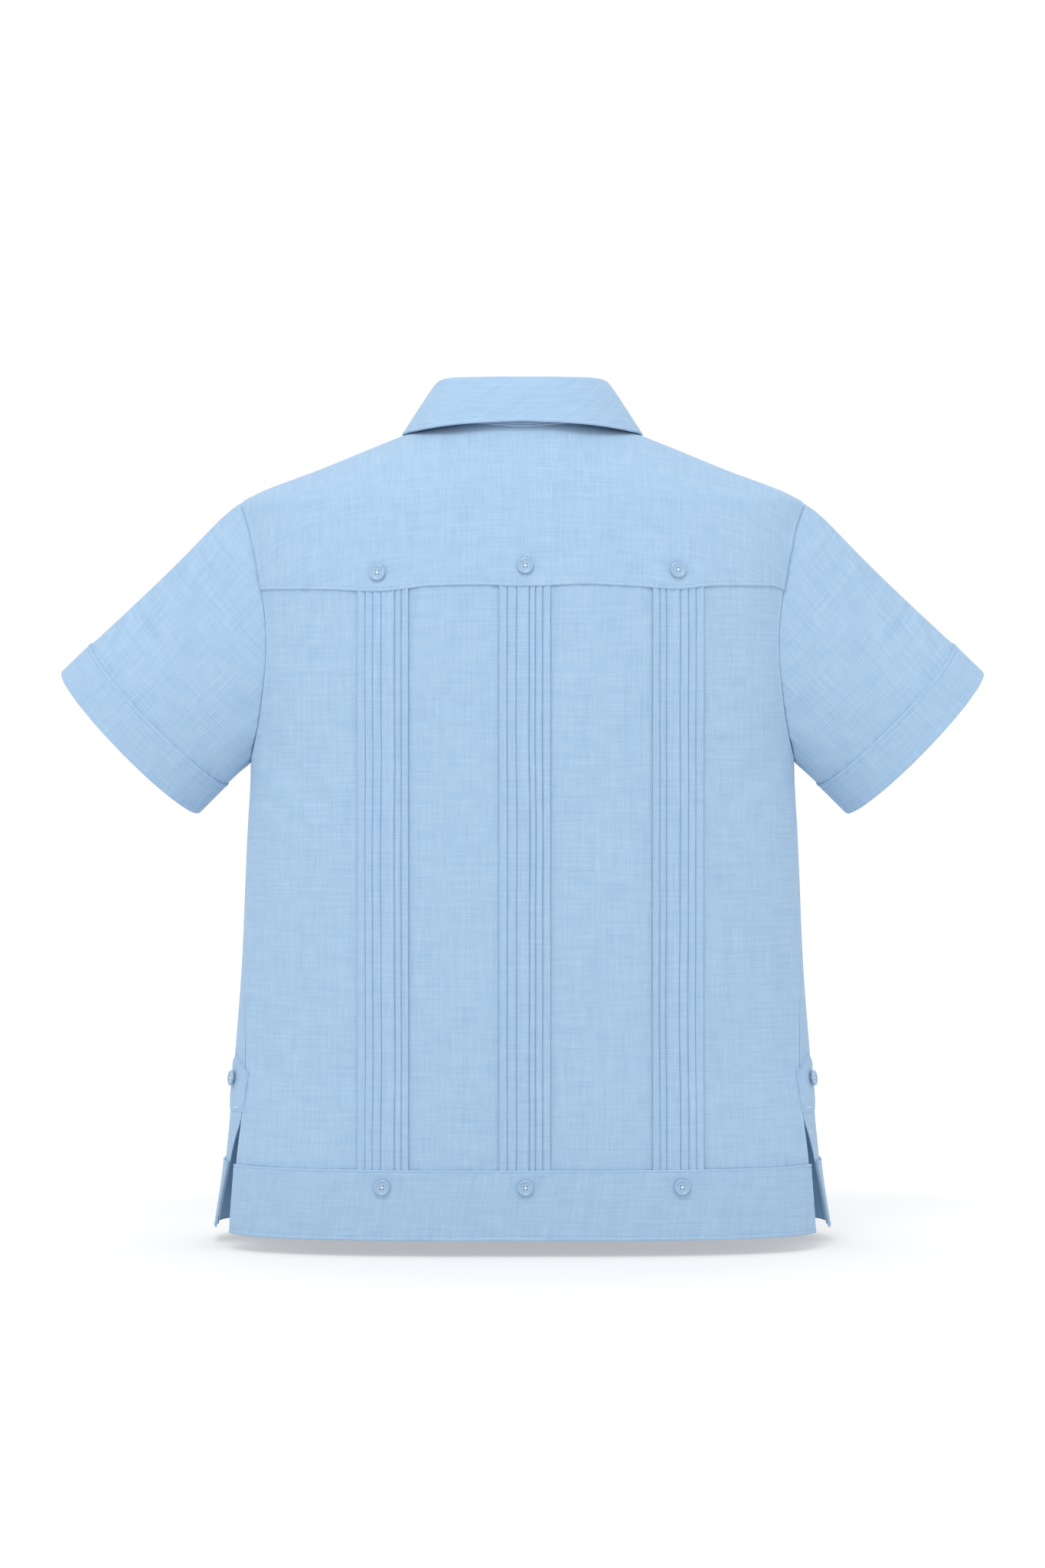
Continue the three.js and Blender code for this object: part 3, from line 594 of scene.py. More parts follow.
# ---- pieces: their grids are in rows and columns, and each seam's ripple has its own seed ----
STITCHES = []
SIDE_TURN = 0.15


def keep(piece, *nodes, slot="cloth"):
    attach(piece, "root")
    if nodes:
        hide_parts(*nodes)
    return piece


def opening_depth(z):
    """How far the armhole reaches behind or before the side line at height z."""
    inside = 1 - ((z - ARMHOLE["z"]) / ARMHOLE["half_height"]) ** 2
    return ARMHOLE["half_depth"] * np.sqrt(np.maximum(inside, 0))


def back_edge(z):
    arm = np.maximum(turn_at_depth(opening_depth(z), z), SIDE_TURN)
    return np.where(z > UNDERARM, arm, follow(SIDE_EDGES, "z", z, "back"))


def band_bump(x, reach):
    """1 on the back tuck bands and 0 away from them."""
    total = 0
    for band in BACK_BANDS:
        total = total + 1 / (1 + np.exp((np.abs(x - band["x"]) - BAND_WIDTH / 2 - 1) / reach))
    return total


def back_panel():
    z = np.linspace(YOKE_SEAM + 9, PANEL_END, 185)[:, None]
    across = np.linspace(-1, 1, 181)[None, :]
    turn = 90 - across * (90 - back_edge(z))
    point, normal = body_spots(turn, z)
    below_yoke = follow(YOKE_EDGE, "x", point[..., 0], "z") - point[..., 2]
    ripple = seam_ripple(np.maximum(below_yoke, 0), point[..., 0], seed=11, pitch=11, size=0.35, reach=9)
    above_hem = point[..., 2] - HEM_BAND_TOP
    ripple += seam_ripple(np.maximum(above_hem, 0), point[..., 0], seed=12, pitch=12, size=0.3, reach=9)
    height = creases(point, BACK_CREASES) + ripple
    return keep(shell("back_panel_cloth", (point, normal), height, grain="upright"), "back_panel")


def yoke_half(side):
    """The turns and heights of half of the yoke, from the neckline to its outer edge."""
    back_arm = math.degrees(math.asin((YOKE_SEAM - ARMHOLE["z"]) / ARMHOLE["half_height"]))
    arm = np.concatenate([np.linspace(180 - FRONT_YOKE_ARM, 90, 22)[:-1], np.linspace(90, back_arm, 34)])
    turn_arm, z_arm = armhole(arm)
    seam = np.linspace(turn_arm[-1], 90, 90)[1:]
    x = on_body(seam, YOKE_SEAM)[:, 0] * side
    dip = follow(YOKE_EDGE, "x", x, "z") - YOKE_SEAM
    z_seam = YOKE_SEAM + dip * np.minimum(np.arange(1, len(seam) + 1) / 8, 1)
    neck = [np.linspace(FRONT_YOKE_NECK, 0, 22)[:-1], np.linspace(0, 26, 34), np.linspace(26, 90, 90)[1:]]
    turn_start, z_start = neckline(np.concatenate(neck))
    share = graded(56, 130, start=False)[:, None]
    turn = turn_start + (np.concatenate([turn_arm, seam]) - turn_start) * share
    z = z_start + (np.concatenate([z_arm, z_seam]) - z_start) * share
    return body_spots(turn, z)


YOKE_GRAIN = (np.array([1.0, 0, 0]), np.array([0, -SLOPE_STRETCH, 1.0]))
SLEEVE_SKEW = 0.7
SLEEVE_GRAIN = (opening_up + SLEEVE_SKEW * opening_back, sleeve_along)


def yoke():
    left, right = yoke_half(1), mirror(yoke_half(-1))
    point, normal = (np.concatenate([a, b[:, :-1][:, ::-1]], 1) for a, b in zip(left, right))
    _, to_edge, _, _ = rim_distances(point)
    back = point[..., 1] > 0
    along = np.where(back, point[..., 0], point[..., 2])
    over_bands = BAND_SWELL["yoke"] * band_bump(point[..., 0], BAND_SWELL["yoke_reach"])
    over_bands = over_bands * near(to_edge, BAND_SWELL["down"]) * back
    lift = YOKE_LIFT_ABOVE + (YOKE_LIFT - YOKE_LIFT_ABOVE) * near(to_edge, 22) * back
    height = lift + stitched_edge(to_edge, along, seed=5) + over_bands
    return keep(shell("yoke_cloth", (point, normal), height, thick=THICK["yoke"], grain=YOKE_GRAIN), "yoke")


BODY_GRAIN = (np.array([1.0, -0.5, 0]), np.array([0, 0, 1.0]))


def front_panel(name, node, centre_x, flip, seed):
    neck_end = -math.degrees(math.acos(centre_x / NECK["half"]))
    inner_turn, inner_z = neckline(np.linspace(FRONT_YOKE_NECK, neck_end, 36))
    arm_turn, arm_z = armhole(180 - np.linspace(FRONT_YOKE_ARM, -90, 80))
    below = np.linspace(inner_z[-1], UNDERARM, 45)[1:]
    side = np.linspace(UNDERARM, PANEL_END, 90)[1:]
    lower = np.concatenate([below, side])
    inner_turn = np.concatenate([inner_turn, turn_at(centre_x, lower, True)])
    inner_z = np.concatenate([inner_z, lower])
    outer_turn = np.concatenate([np.minimum(arm_turn, -SIDE_TURN), follow(SIDE_EDGES, "z", side, "front")])
    outer_z = np.concatenate([arm_z, side])
    share = np.linspace(0, 1, 80)[None, :]
    turn = inner_turn[:, None] + (outer_turn - inner_turn)[:, None] * share
    z = inner_z[:, None] + (outer_z - inner_z)[:, None] * share
    point, normal = body_spots(turn, z, True)
    from_yoke, _, _, _ = rim_distances(point)
    ripple = seam_ripple(from_yoke, point[..., 0], seed, pitch=11, size=0.25, reach=8)
    height = creases(point, FRONT_CREASES) + ripple
    return keep(shell(name, sided((point, normal), flip), height, grain=BODY_GRAIN), node)


ROUND_SLEEVE = 1.2
SLEEVE_START = 0.003


def sleeve(side, flip):
    around = np.linspace(0, 360, 161)[:-1][None, :]
    along = SLEEVE_START + graded(52, 105, fine=0.8)[:, None] * (1 - SLEEVE_START)
    point, normal = spots(on_sleeve, around, along, SLEEVE_CORE, SLEEVE_STEP)
    from_arm, to_cuff, _, _ = rim_distances(point)
    round_mm = np.broadcast_to(around * ROUND_SLEEVE, from_arm.shape)
    seed = 31 if flip else 21
    height = seam_ripple(from_arm, round_mm, seed, pitch=13, size=0.5, reach=11)
    height += seam_ripple(to_cuff, round_mm, seed + 1, pitch=10, size=0.45, reach=8)
    height -= 0.6 * near(from_arm, 1.2)
    for centre, sway, depth in SLEEVE_CREASES:
        place = (around - centre - sway * along + 180) % 360 - 180
        height = height - depth * near(place, SLEEVE_CREASE["width"]) * near(along, SLEEVE_CREASE["reach"])
    grain = [way * [-1, 1, 1] for way in SLEEVE_GRAIN] if flip else SLEEVE_GRAIN
    piece = shell(f"sleeve_{side}_cloth", sided((point, normal), flip), height, wrap=True, grain=grain)
    return keep(piece, f"sleeve_{side}")


CUFF_TUCKED = 0.03


def cuff(side, flip):
    around = np.linspace(0, 360, 201)[:-1][None, :]
    share = graded(14, 38)[:, None] * (1 + CUFF_TUCKED) - CUFF_TUCKED
    point, normal = spots(on_cuff, around, share, CUFF_CORE, SLEEVE_STEP)
    from_seam, to_hem, _, _ = rim_distances(point)
    round_mm = np.broadcast_to(around * ROUND_SLEEVE, from_seam.shape)
    seed = 41 if flip else 51
    height = CUFF_LIFT + stitched_edge(from_seam, round_mm, seed, row=CUFF_ROW, pucker=0.28)
    height += 0.25 * wave(round_mm, seed + 1, pitch=16) - 0.5 * near(to_hem, 0.6)
    piece = shell(f"cuff_{side}_cloth", sided((point, normal), flip), height, THICK["cuff"], True)
    return keep(piece, f"cuff_{side}")


TUCK = {
    "face": 0.9,
    "rise": 0.75, "edge": 0.12, "slope": 5.0,
    "lip": 0.22, "lip_in": 0.5, "lip_reach": 0.4,
    "groove": 0.85, "groove_out": 0.5, "groove_reach": 0.42,
    "stitch": 0.3, "stitch_reach": 0.5,
}


def tuck_height(place, pattern):
    """The face of a tuck band, where each tuck is a fold that lies over to one side."""
    across = place * BAND_WIDTH
    height = TUCK["face"]
    for at, faces in pattern["folds"]:
        inward = (at * BAND_WIDTH - across) * faces
        rise = 1 / (1 + np.exp(-inward / TUCK["edge"]))
        height = height + TUCK["rise"] * rise * np.clip(1 - inward / TUCK["slope"], 0, 1)
        height = height + TUCK["lip"] * near(inward - TUCK["lip_in"], TUCK["lip_reach"])
        if 0 < at < 1:
            height = height - TUCK["groove"] * near(inward + TUCK["groove_out"], TUCK["groove_reach"])
    for at in pattern["stitches"]:
        height = height - TUCK["stitch"] * near(across - at * BAND_WIDTH, TUCK["stitch_reach"])
    return height


def tuck_band(name, x, top, pattern, turned, front=False, flip=False, columns=170, rows=56):
    z = np.linspace(top, HEM_BAND_TOP - 3, rows)[:, None]
    place = np.linspace(0, 1, columns)[None, :]
    drift = 0.5 * wave(z, seed=int(abs(x)), pitch=220)
    across = x + (0.5 - place) * BAND_WIDTH + drift * np.sin(np.pi * place)
    spot = body_spots(turn_at(across, z, front), z, front)
    height = tuck_height(1 - place if turned else place, pattern) + BAND_LIFT
    height = height + 0.1 * wave(z + place * 30, seed=7, pitch=26)
    return keep(shell(f"{name}_cloth", sided(spot, flip), height), name)


def hem_band(name, edges, skirt, flip=False, columns=240, seed=61):
    down = graded(14, HEM_BAND_TOP - HEM)[:, None]
    z = HEM_BAND_TOP + (HEM - HEM_BAND_TOP) * down
    start, end = edges(z)
    across = graded(columns, 2.2 * columns, fine=0.5)[None, :]
    point, normal = body_spots(start + (end - start) * across, z + 0 * across, skirt)
    to_top, to_foot, to_start, to_end = rim_distances(point)
    height = HEM_LIFT + stitched_edge(to_top, point[..., 0], seed, pucker=0.3)
    height += stitched_edge(to_foot, point[..., 0], seed + 1, row=FOOT_ROW, pucker=0.25)
    height += stitched_edge(to_start, point[..., 2], seed + 2, row=NARROW_ROW, pucker=0.1)
    height += stitched_edge(to_end, point[..., 2], seed + 3, row=NARROW_ROW, pucker=0.1)
    height += 0.25 * wave(point[..., 0] + 0.1 * point[..., 2], seed + 4, pitch=34)
    if not skirt:
        over_bands = BAND_SWELL["hem"] * band_bump(point[..., 0], BAND_SWELL["hem_reach"])
        height += over_bands * near(to_top, BAND_SWELL["down"])
    return keep(shell(f"{name}_cloth", sided((point, normal), flip), height, THICK["hem"]), name)


def placket():
    top = float(neckline(-90)[1]) - 5
    z = np.linspace(top, PANEL_END, 150)[:, None]
    x = -PLACKET_HALF + 2 * PLACKET_HALF * graded(16, 2 * PLACKET_HALF)[None, :]
    point, normal = body_spots(turn_at(x, z, True), z, True)
    _, _, one, other = rim_distances(point)
    height = PLACKET_LIFT + stitched_edge(one, point[..., 2], seed=71, row=PLACKET_ROW)
    height += stitched_edge(other, point[..., 2], seed=72, row=PLACKET_ROW)
    return keep(shell("placket_cloth", (point, normal), height, thick=THICK["placket"]), "placket")


def side_tab(side, flip):
    z = np.linspace(TAB["tip"], TAB["foot"], 60)[:, None]
    reach = TAB["reach"] * np.clip((TAB["tip"] + 1 - z) / TAB["point"], TAB["blunt"], 1)
    across = graded(26, 46)[None, :] * 2 - 1
    point, normal = body_spots(TAB["turn"] + reach * across, z + 0 * across)
    _, to_foot, one, other = rim_distances(point)
    to_side = np.minimum(one, other)
    height = TAB_LIFT + stitched_edge(to_side, point[..., 2], seed=81, row=TAB_ROW, pucker=0.05)
    height -= 0.7 * near(to_foot, 6)
    piece = shell(f"side_tab_{side}_cloth", sided((point, normal), flip), height, THICK["tab"])
    return keep(piece, f"side_tab_{side}")


def collar_size(turn, column):
    return follow(COLLAR, "turn", turn, column)


def fold_point(turn, out=0.0):
    """The top of the stand, where the leaf folds over it."""
    half = collar_size(turn, "fold_half") + out
    deep = collar_size(turn, "fold_deep") + out
    angle = np.radians(turn)
    return np.stack([half * np.cos(angle), deep * np.sin(angle), collar_size(turn, "fold_z")], -1)


NECK_CORE = np.array([0, 0, 10.0])
NECK_STEP = 0.02
STAND_DOWN = -1.5
LEAF_FOLD = {"out": 1.9, "up": 1.6}
LEAF_ROLL = {"side": 1.3, "more_behind": 1.4}


def on_stand(turn, share):
    base = on_body(*neckline(turn)) + np.array([0, 0, STAND_DOWN])
    return base + (fold_point(turn) - base) * share[..., None]


def on_leaf(turn, share):
    fold = fold_point(turn, LEAF_FOLD["out"]) + np.array([0, 0, LEAF_FOLD["up"]])
    edge = np.stack([collar_size(turn, k) for k in ("edge_x", "edge_y", "edge_z")], -1)
    angle = np.radians(turn)
    roll = LEAF_ROLL["side"] + LEAF_ROLL["more_behind"] * np.abs(np.sin(angle))
    roll = roll * np.sin(np.pi * np.clip(share, 0, 1) ** 0.5)
    out = np.stack([np.cos(angle), np.sin(angle), np.zeros_like(angle)], -1)
    return fold + (edge - fold) * share[..., None] + out * roll[..., None]


def round_neck(surface, first, shares, name, relief):
    """A sheet all round the neck, from one front end to the other."""
    turn = np.linspace(first, 90, 105)[None, :]
    left = spots(surface, turn, shares[:, None], NECK_CORE, NECK_STEP)
    point, normal = (np.concatenate([a, b[:, :-1][:, ::-1]], 1) for a, b in zip(left, mirror(left)))
    return keep(shell(f"{name}_cloth", (point, normal), relief(point), THICK["collar"]), name)


def leaf_relief(point):
    from_fold, to_edge, one, other = rim_distances(point)
    edge = stitched_edge(to_edge, point[..., 0], seed=91, row=LEAF_ROW, pucker=0.18)
    ends = stitched_edge(np.minimum(one, other), point[..., 2], seed=92, row=LEAF_ROW, pucker=0.1)
    return edge + ends - 0.5 * near(from_fold, 1.0)


def stand_relief(point):
    from_neck, _, _, _ = rim_distances(point)
    return 1.4 * near(from_neck, 9) + stitched_edge(from_neck, point[..., 0], seed=93, row=NARROW_ROW)


# ---- stitches and buttons ----


def stitch_row(path, normals, lift, pitch=STITCH["pitch"]):
    """One row of stitches along a path of points on the cloth."""
    path = path + normals * np.broadcast_to(lift, len(path))[:, None]
    length = np.concatenate([[0], np.linalg.norm(np.diff(path, axis=0), axis=1).cumsum()])
    count = max(int(length[-1] / pitch), 1)
    middle = (np.arange(count) + 0.5) * length[-1] / count

    def at(place, values):
        return np.stack([np.interp(place, length, values[:, k]) for k in range(3)], 1)

    half = STITCH["dash"] / 2
    up = at(middle, normals)
    STITCHES.append((at(middle - half, path), at(middle + half, path), up))


def stitch_body(x, z, lift, front=False, flip=False):
    """A row of stitches on the body, through places given by x and z."""
    x, z = np.broadcast_arrays(np.asarray(x, float), np.asarray(z, float))
    point, normal = body_spots(turn_at(x, z, front), z, front)
    stitch_row(*sided((point, normal), flip), lift)


def stitch_both(path, normals, lift):
    stitch_row(path, normals, lift)
    stitch_row(*mirror((path, normals)), lift)


TACK_HALF = 0.6


def tack(point, normal, way, length, count):
    """A bar tack or buttonhole: short stitches side by side, their row running the given way."""
    side = np.cross(normal, way)
    for k in range(count):
        centre = point + way * (k / (count - 1) - 0.5) * length
        ends = np.stack([centre - side * TACK_HALF, centre + side * TACK_HALF])
        STITCHES.append((ends[:1], ends[1:], normal[None]))


SPINDLE = ((0, 0.5), (0.5, 1.15), (1, 0.5))


def spindles(name, radius=STITCH["radius"], corners=5):
    """All the stitches as one mesh, each a small spindle that lies on the cloth."""
    first, last, up = (np.concatenate([row[n] for row in STITCHES]) for n in range(3))
    along = last - first
    along /= np.linalg.norm(along, axis=1, keepdims=True)
    side = np.cross(up, along)
    angle = (np.arange(corners) * 2 * np.pi / corners)[None, :, None]
    ring = side[:, None] * np.cos(angle) + up[:, None] * np.sin(angle)
    sections = []
    for share, size in SPINDLE:
        sections.append((first + (last - first) * share)[:, None] + ring * radius * size)
    block = np.stack(sections, 1)
    number = np.arange(len(first) * 3 * corners).reshape(len(first), 3, corners)
    turned = np.roll(number, -1, 2)
    quads = np.stack([number[:, :-1], turned[:, :-1], turned[:, 1:], number[:, 1:]], -1).reshape(-1, 4)
    faces = quads.tolist() + number[:, 0, ::-1].tolist() + number[:, 2].tolist()
    return keep(make_object(name, block.reshape(-1, 3), faces, THREAD))


def lathe(profile, segments=40):
    """A turned solid from (radius, height) pairs that start and end on the axis."""
    angle = np.arange(segments) * 2 * np.pi / segments
    rings = [np.stack([r * np.cos(angle), r * np.sin(angle), 0 * angle + h], 1) for r, h in profile[1:-1]]
    points = np.concatenate([[[0, 0, profile[0][1]]], *rings, [[0, 0, profile[-1][1]]]])
    number = 1 + np.arange(len(rings) * segments).reshape(len(rings), segments)
    turned = np.roll(number, -1, 1)
    faces = np.stack([number[:-1], turned[:-1], turned[1:], number[1:]], -1).reshape(-1, 4).tolist()
    top = len(points) - 1
    faces += [[0, int(b), int(a)] for a, b in zip(number[0], turned[0])]
    faces += [[top, int(a), int(b)] for a, b in zip(number[-1], turned[-1])]
    return points, faces


MOULDED = [
    (0, 0), (5.6, 0), (6.5, 0.5), (6.95, 1.2), (6.95, 1.9), (6.7, 2.4), (6.2, 2.7), (5.6, 2.65), (5.1, 2.35),
    (4.75, 1.9), (4.3, 1.7), (3.0, 1.62), (0, 1.6),
]
FACE = 1.6
HOLES = {"spread": 1.25, "radius": 0.72, "proud": 0.06}
KNOT = {"reach": 0.95, "width": 0.75, "low": 0.1, "high": 0.75, "crown": 0.6}
SHANK = {"radius": 1.3, "top_radius": 1.1, "up": 0.2, "top": 0.1}
BUTTONHOLE = {"away": 8.6, "length": 2.2, "count": 4, "sink": 0.2}


def bar(start, end, width, low, high):
    """The corners and faces of a short raised thread between two places on the button's face."""
    a, b = np.array(start), np.array(end)
    along = (b - a) / np.linalg.norm(b - a)
    side = np.array([-along[1], along[0]]) * width / 2
    middle = (a + b) / 2
    points = []
    for centre, height in ((a, low), (middle, high), (b, low)):
        for sign in (-1, 1):
            points.append([*(centre + side * sign), FACE])
            points.append([*(centre + side * sign * KNOT["crown"]), height])
    faces = []
    for n in (0, 4):
        faces += [[n, n + 1, n + 5, n + 4], [n + 1, n + 3, n + 7, n + 5], [n + 3, n + 2, n + 6, n + 7]]
    return points, faces


def joined(parts):
    """The points and faces of several small forms as one."""
    points, faces = [], []
    for some_points, some_faces in parts:
        base = len(points)
        points += [list(point) for point in some_points]
        faces += [[base + k for k in face] for face in some_faces]
    return points, faces


def button(name, lift, z, x=0.0, turn=None, front=False, flip=False, buttonhole=True):
    """A four-hole button, its holes painted as dark discs of shade, with its thread and shank, at a turn of
    the body or else at a place x.
    """
    place = turn_at(x, z, front) if turn is None else turn
    point, normal = sided(body_spots(place, z, front), flip)
    side = np.cross([0, 0, 1.0], normal)
    side /= np.linalg.norm(side)
    up = np.cross(normal, side)

    def placed(local):
        local = np.asarray(local, float)
        return point + normal * lift + local[:, :1] * side + local[:, 1:2] * up + local[:, 2:] * normal

    points, faces = lathe(MOULDED)
    keep(make_object(f"{name}_moulded", placed(points), faces, BUTTON), name, slot="button")
    # The holes are flat dark discs just proud of the face, with no hole cut: painted shade.
    radius, top = HOLES["radius"], FACE + HOLES["proud"]
    hole, hole_faces = lathe([(0, FACE), (radius, FACE), (radius - 0.02, top - 0.01), (0, top)], 12)
    corners = [(sx * HOLES["spread"], sy * HOLES["spread"], 0) for sx in (-1, 1) for sy in (-1, 1)]
    painted_hole_shades = joined([(hole + np.array(corner), hole_faces) for corner in corners])
    keep(make_object(f"{name}_holes", placed(painted_hole_shades[0]), painted_hole_shades[1], HOLE_PAINTED_SHADE), slot="button")
    reach = KNOT["reach"]
    ends = (((-reach, -reach), (reach, reach)), ((-reach, reach), (reach, -reach)))
    knot = joined([bar(*pair, KNOT["width"], FACE + KNOT["low"], FACE + KNOT["high"]) for pair in ends])
    keep(make_object(f"{name}_thread", placed(knot[0]), knot[1], BUTTON_THREAD), slot="button")
    foot, top = -lift + SHANK["up"], SHANK["top"]
    shank, shank_faces = lathe([(0, foot), (SHANK["radius"], foot), (SHANK["top_radius"], top), (0, top)], 14)
    keep(make_object(f"{name}_shank", placed(shank), shank_faces, BUTTON_THREAD), slot="button")
    if buttonhole:
        for sign in (-1, 1):
            centre = point + up * sign * BUTTONHOLE["away"] + normal * (lift - BUTTONHOLE["sink"])
            tack(centre, normal, up, BUTTONHOLE["length"], BUTTONHOLE["count"])


# ---- make the shirt ----


HEM_OVERHANG = 0.4
PLACKET_GAP = 1.5
LEFT_SETBACK = 0.6
SIDES = (("left", False), ("right", True))


def back_hem_edges(z):
    edge = follow(SIDE_EDGES, "z", z, "back") - HEM_OVERHANG
    return edge, 180 - edge


def front_hem_edges(z):
    return turn_at(PLACKET_HALF + PLACKET_GAP, z, True), follow(SIDE_EDGES, "z", z, "front") + HEM_OVERHANG


back = back_panel()
yoke_piece = yoke()
fronts = [
    front_panel("front_left_cloth", "front_left", UNDERLAP + LEFT_SETBACK, False, seed=14),
    front_panel("front_right_cloth", "front_right", -UNDERLAP, True, seed=15),
]
sleeves = [sleeve(side, flip) for side, flip in SIDES]
cuffs = [cuff(side, flip) for side, flip in SIDES]
bands = [tuck_band(top=YOKE_SEAM + 5, **band) for band in BACK_BANDS]
for side, flip in SIDES:
    name = f"tuck_band_front_{side}"
    bands.append(tuck_band(name, FRONT_BAND_X, -47, SIDE_BAND, False, True, flip, columns=110, rows=50))
hems = [hem_band("hem_band_back", back_hem_edges, False)]
hems += [hem_band(f"hem_band_front_{side}", front_hem_edges, True, flip, 110, 65) for side, flip in SIDES]
placket_piece = placket()
tabs = [side_tab(side, flip) for side, flip in SIDES]
stand = round_neck(on_stand, -86, graded(16, 40, end=False), "collar_stand", stand_relief)
leaf = round_neck(on_leaf, -84, graded(22, 44), "collar_leaf", leaf_relief)

# Stitches along the yoke, hem band, tuck bands, cuffs, armholes, collar, placket and vents. Rows round a cuff
# or the neck lie at a share of the piece's own depth.
CUFF_SHARE, LEAF_SHARE, STAND_SHARE = 0.1, 0.885, 0.05
x = np.linspace(-224, 224, 500)
over = BAND_SWELL["yoke"] * band_bump(x, BAND_SWELL["yoke_reach"])
stitch_body(x, follow(YOKE_EDGE, "x", x, "z") + SEAM_ROW, YOKE_LIFT + over - STITCH_SINK)
x = np.linspace(-246, 246, 500)
over = BAND_SWELL["hem"] * band_bump(x, BAND_SWELL["hem_reach"])
stitch_body(x, HEM_BAND_TOP - SEAM_ROW, HEM_LIFT + over - STITCH_SINK)
stitch_body(x, HEM + FOOT_ROW, HEM_LIFT - STITCH_SINK)
for side, flip in SIDES:
    z = np.linspace(HEM_BAND_TOP - 3, HEM + 4, 60)
    spot = body_spots(follow(SIDE_EDGES, "z", z, "back") + 0.45, z)
    stitch_row(*sided(spot, flip), HEM_LIFT - 0.2)
    for height in (HEM_BAND_TOP - SEAM_ROW, HEM + FOOT_ROW):
        stitch_body(np.linspace(20, 240, 200), height, HEM_LIFT - STITCH_SINK, True, flip)
    if flip:
        z = np.linspace(-48, PANEL_END + 2, 200)
        for at in (-1, 1):
            stitch_body(at * (PLACKET_HALF - PLACKET_ROW), z, 2.0, True, flip)
    around = np.linspace(0, 360, 400)
    spot = spots(on_cuff, around, np.full_like(around, CUFF_SHARE), CUFF_CORE, SLEEVE_STEP)
    stitch_row(*sided(spot, flip), 0.9)
    around = np.linspace(180 - FRONT_YOKE_ARM, 17.5, 200)
    turn, z = armhole(around)
    spot = body_spots(turn + np.where(np.cos(np.radians(around)) > 0, 1.6, -1.6), z + 1.2)
    stitch_row(*sided(spot, flip), YOKE_LIFT - 0.1)
    around = np.linspace(14, -80, 200)
    turn, z = armhole(around)
    spot = body_spots(turn + 0.8, z)
    stitch_row(*sided(spot, flip), 0.1)
    z = np.linspace(TAB["foot"] - 2, HEM_BAND_TOP + 2, 40)
    spot = body_spots(follow(SIDE_EDGES, "z", z, "back") + 0.9, z)
    stitch_row(*sided(spot, flip), 0.05)
    point, normal = sided(body_spots(TAB["turn"] + BAR_TACK["behind"], TAB["foot"] + BAR_TACK["up"]), flip)
    way = np.cross(normal, [0, 0, 1.0])
    way /= np.linalg.norm(way)
    tack(point + normal * BAR_TACK["lift"], normal, way, BAR_TACK["length"], BAR_TACK["count"])
for band in BACK_BANDS:
    for share in band["pattern"]["stitches"]:
        z = np.linspace(YOKE_SEAM - 1, HEM_BAND_TOP + 1, 200)
        side_share = 1 - share if band["turned"] else share
        place = band["x"] + (0.5 - side_share) * BAND_WIDTH
        height = float(tuck_height(np.array(share), band["pattern"])) + BAND_LIFT
        stitch_body(place, z, height + 0.1)
turn = np.linspace(-80, 90, 300)
spot = spots(on_leaf, turn, np.full_like(turn, LEAF_SHARE), NECK_CORE, NECK_STEP)
stitch_both(*spot, -0.2)
turn = np.linspace(20, 90, 140)
spot = spots(on_stand, turn, np.full_like(turn, STAND_SHARE), NECK_CORE, NECK_STEP)
stitch_both(*spot, 1.2)

BUTTON_LIFT = {"yoke": 1.9, "hem": 2.4, "side": 2.9, "front": 3.1}
YOKE_BUTTONS = [("left", 125, -117.5), ("centre", -2.3, -112), ("right", -134, -115)]
HEM_BUTTONS = [("left", 121, -648), ("centre", -2.5, -648), ("right", -137.5, -648)]
LOWEST_BUTTON = -560
FRONT_BUTTONS = {"below_neck": 50, "count": 6}
for row, places in (("yoke", YOKE_BUTTONS), ("hem", HEM_BUTTONS)):
    for place, x, z in places:
        button(f"button_{row}_{place}", BUTTON_LIFT[row], z, x)
for side, flip in SIDES:
    name = f"button_side_{side}"
    button(name, BUTTON_LIFT["side"], LOWEST_BUTTON, turn=TAB["turn"], flip=flip, buttonhole=False)
top_button = float(neckline(-90)[1]) - FRONT_BUTTONS["below_neck"]
for n, height in enumerate(np.linspace(top_button, LOWEST_BUTTON, FRONT_BUTTONS["count"])):
    button(f"button_front_{n + 1}", BUTTON_LIFT["front"], float(height), turn=-90, front=True)
spindles("stitching")

# ---- what each piece was cut from ----
LEAST_SHARE = 0.31


def declare(piece, width, length):
    """Work out a piece's area on one of its two faces, held between a share of its flat rectangle's and the
    whole of it; neither the size nor the area is kept.
    """
    area = sum(polygon.area for polygon in piece.data.polygons) / 2
    area = min(max(area, LEAST_SHARE * width * length), width * length)


declare(back, 0.600, 0.575)
declare(yoke_piece, 0.560, 0.260)
for piece in fronts:
    declare(piece, 0.330, 0.700)
for piece in sleeves:
    declare(piece, 0.490, 0.180)
for side, piece in zip(("left", "right"), cuffs):
    declare(piece, 0.430, 0.041)
for under, piece in zip(("back_panel",) * 3 + ("front_left", "front_right"), bands):
    declare(piece, 0.062, 0.600)
declare(hems[0], 0.600, 0.065)
for side, piece in zip(("left", "right"), hems[1:]):
    declare(piece, 0.330, 0.068)
declare(placket_piece, 0.038, 0.700)
for piece in tabs:
    declare(piece, 0.046, 0.052)
declare(stand, 0.440, 0.045)
declare(leaf, 0.520, 0.085)

# ---- floor, light and camera ----
FLOOR = HEM - 14
REACH = 9000
# Painted light: the floor glows, less near the shirt to paint its shadow there and more further out.
NEAR_GLOW, FAR_GLOW = 0.42, 0.62
GLOW_GROWS = {"From Min": 0.25, "From Max": 0.9}
PAPER = (0.475, 0.485)


def grey(value):
    return (value, value, value, 1)


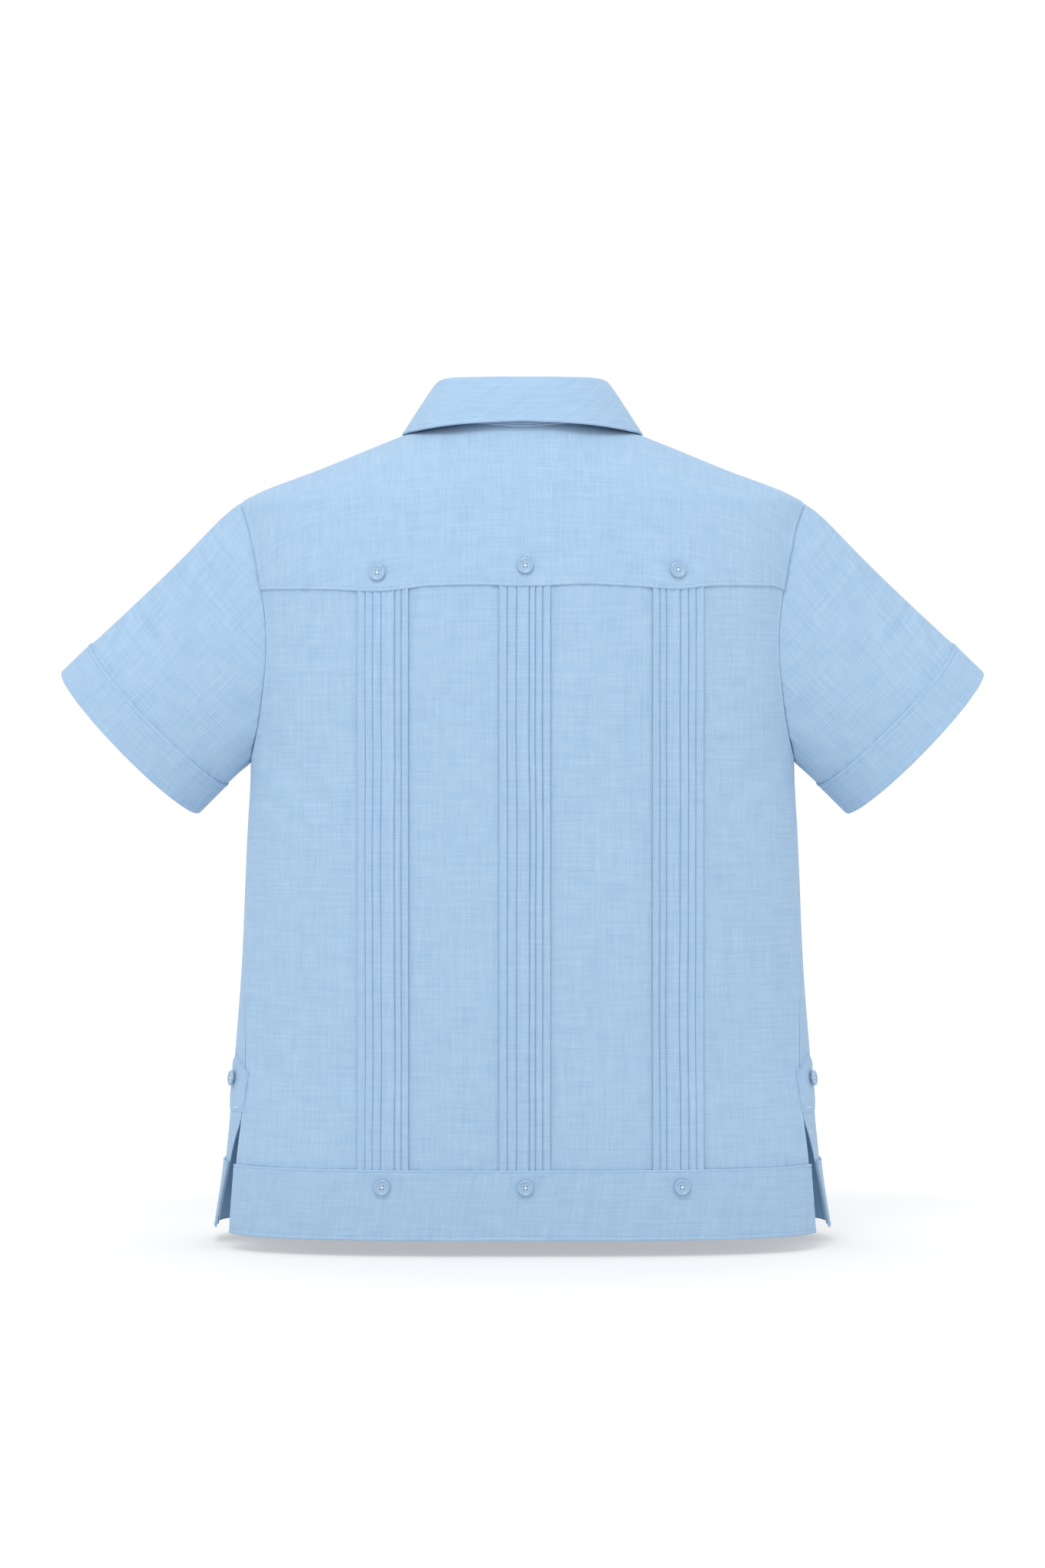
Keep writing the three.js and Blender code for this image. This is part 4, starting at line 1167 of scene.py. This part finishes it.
def paper_material():
    """White paper that glows a little, and more beyond the shirt's own shadow: painted light, whose lower
    glow near the shirt paints a shadow there and which lights the shirt from below.
    """
    nodes = Nodes("white_paper_painted_glow")
    place = nodes.place()
    cloud = nodes.noise(place, 2.0)
    under = (0, 0, FLOOR * MM)
    away = nodes.add("ShaderNodeVectorMath", {"operation": "DISTANCE"}, {0: place, 1: under}, output=1)
    far = nodes.add("ShaderNodeMapRange", {}, {"Value": away, **GLOW_GROWS})
    glow = nodes.mix(far, grey(NEAR_GLOW), grey(FAR_GLOW))
    colour = nodes.mix(cloud, grey(PAPER[0]), grey(PAPER[1]))
    sockets = {"Base Color": colour, "Roughness": 1.0, "Specular IOR Level": 0.0}
    nodes.finish({**sockets, "Emission Color": glow, "Emission Strength": 1.0})
    return nodes.material


corners = [(-REACH, -REACH, FLOOR), (REACH, -REACH, FLOOR), (REACH, REACH, FLOOR), (-REACH, REACH, FLOOR)]
paper = make_object("floor", corners, [[0, 1, 2, 3]], paper_material(), smooth=False)

world = bpy.data.worlds.new("soft_room")
world.use_nodes = True
world.node_tree.nodes["Background"].inputs["Color"].default_value = (1, 1, 1, 1)
world.node_tree.nodes["Background"].inputs["Strength"].default_value = 1.0
bpy.context.scene.world = world


def area_light(name, place, aim, size, power):
    light = bpy.data.lights.new(name, "AREA")
    light.shape, light.size, light.energy = "DISK", size, power
    lamp = bpy.data.objects.new(name, light)
    lamp.location = place
    lamp.rotation_euler = (Vector(aim) - Vector(place)).to_track_quat("-Z", "Y").to_euler()
    bpy.context.scene.collection.objects.link(lamp)


area_light("overhead", place=(0.45, 1.9, 2.4), aim=(0, 0, -0.5), size=1.4, power=37)

CAMERA_BEHIND, CAMERA_HEIGHT = 3.405, -0.300
LENS = 87.9
FAR_CLIP = 60
camera = bpy.data.objects.new("camera", bpy.data.cameras.new("camera"))
camera.location = (0, CAMERA_BEHIND, CAMERA_HEIGHT)
camera.rotation_euler = (math.radians(90), 0, math.radians(180))
camera.data.lens = LENS
camera.data.clip_end = FAR_CLIP
bpy.context.scene.collection.objects.link(camera)
bpy.context.scene.camera = camera
bpy.context.scene.view_settings.view_transform = "Standard"
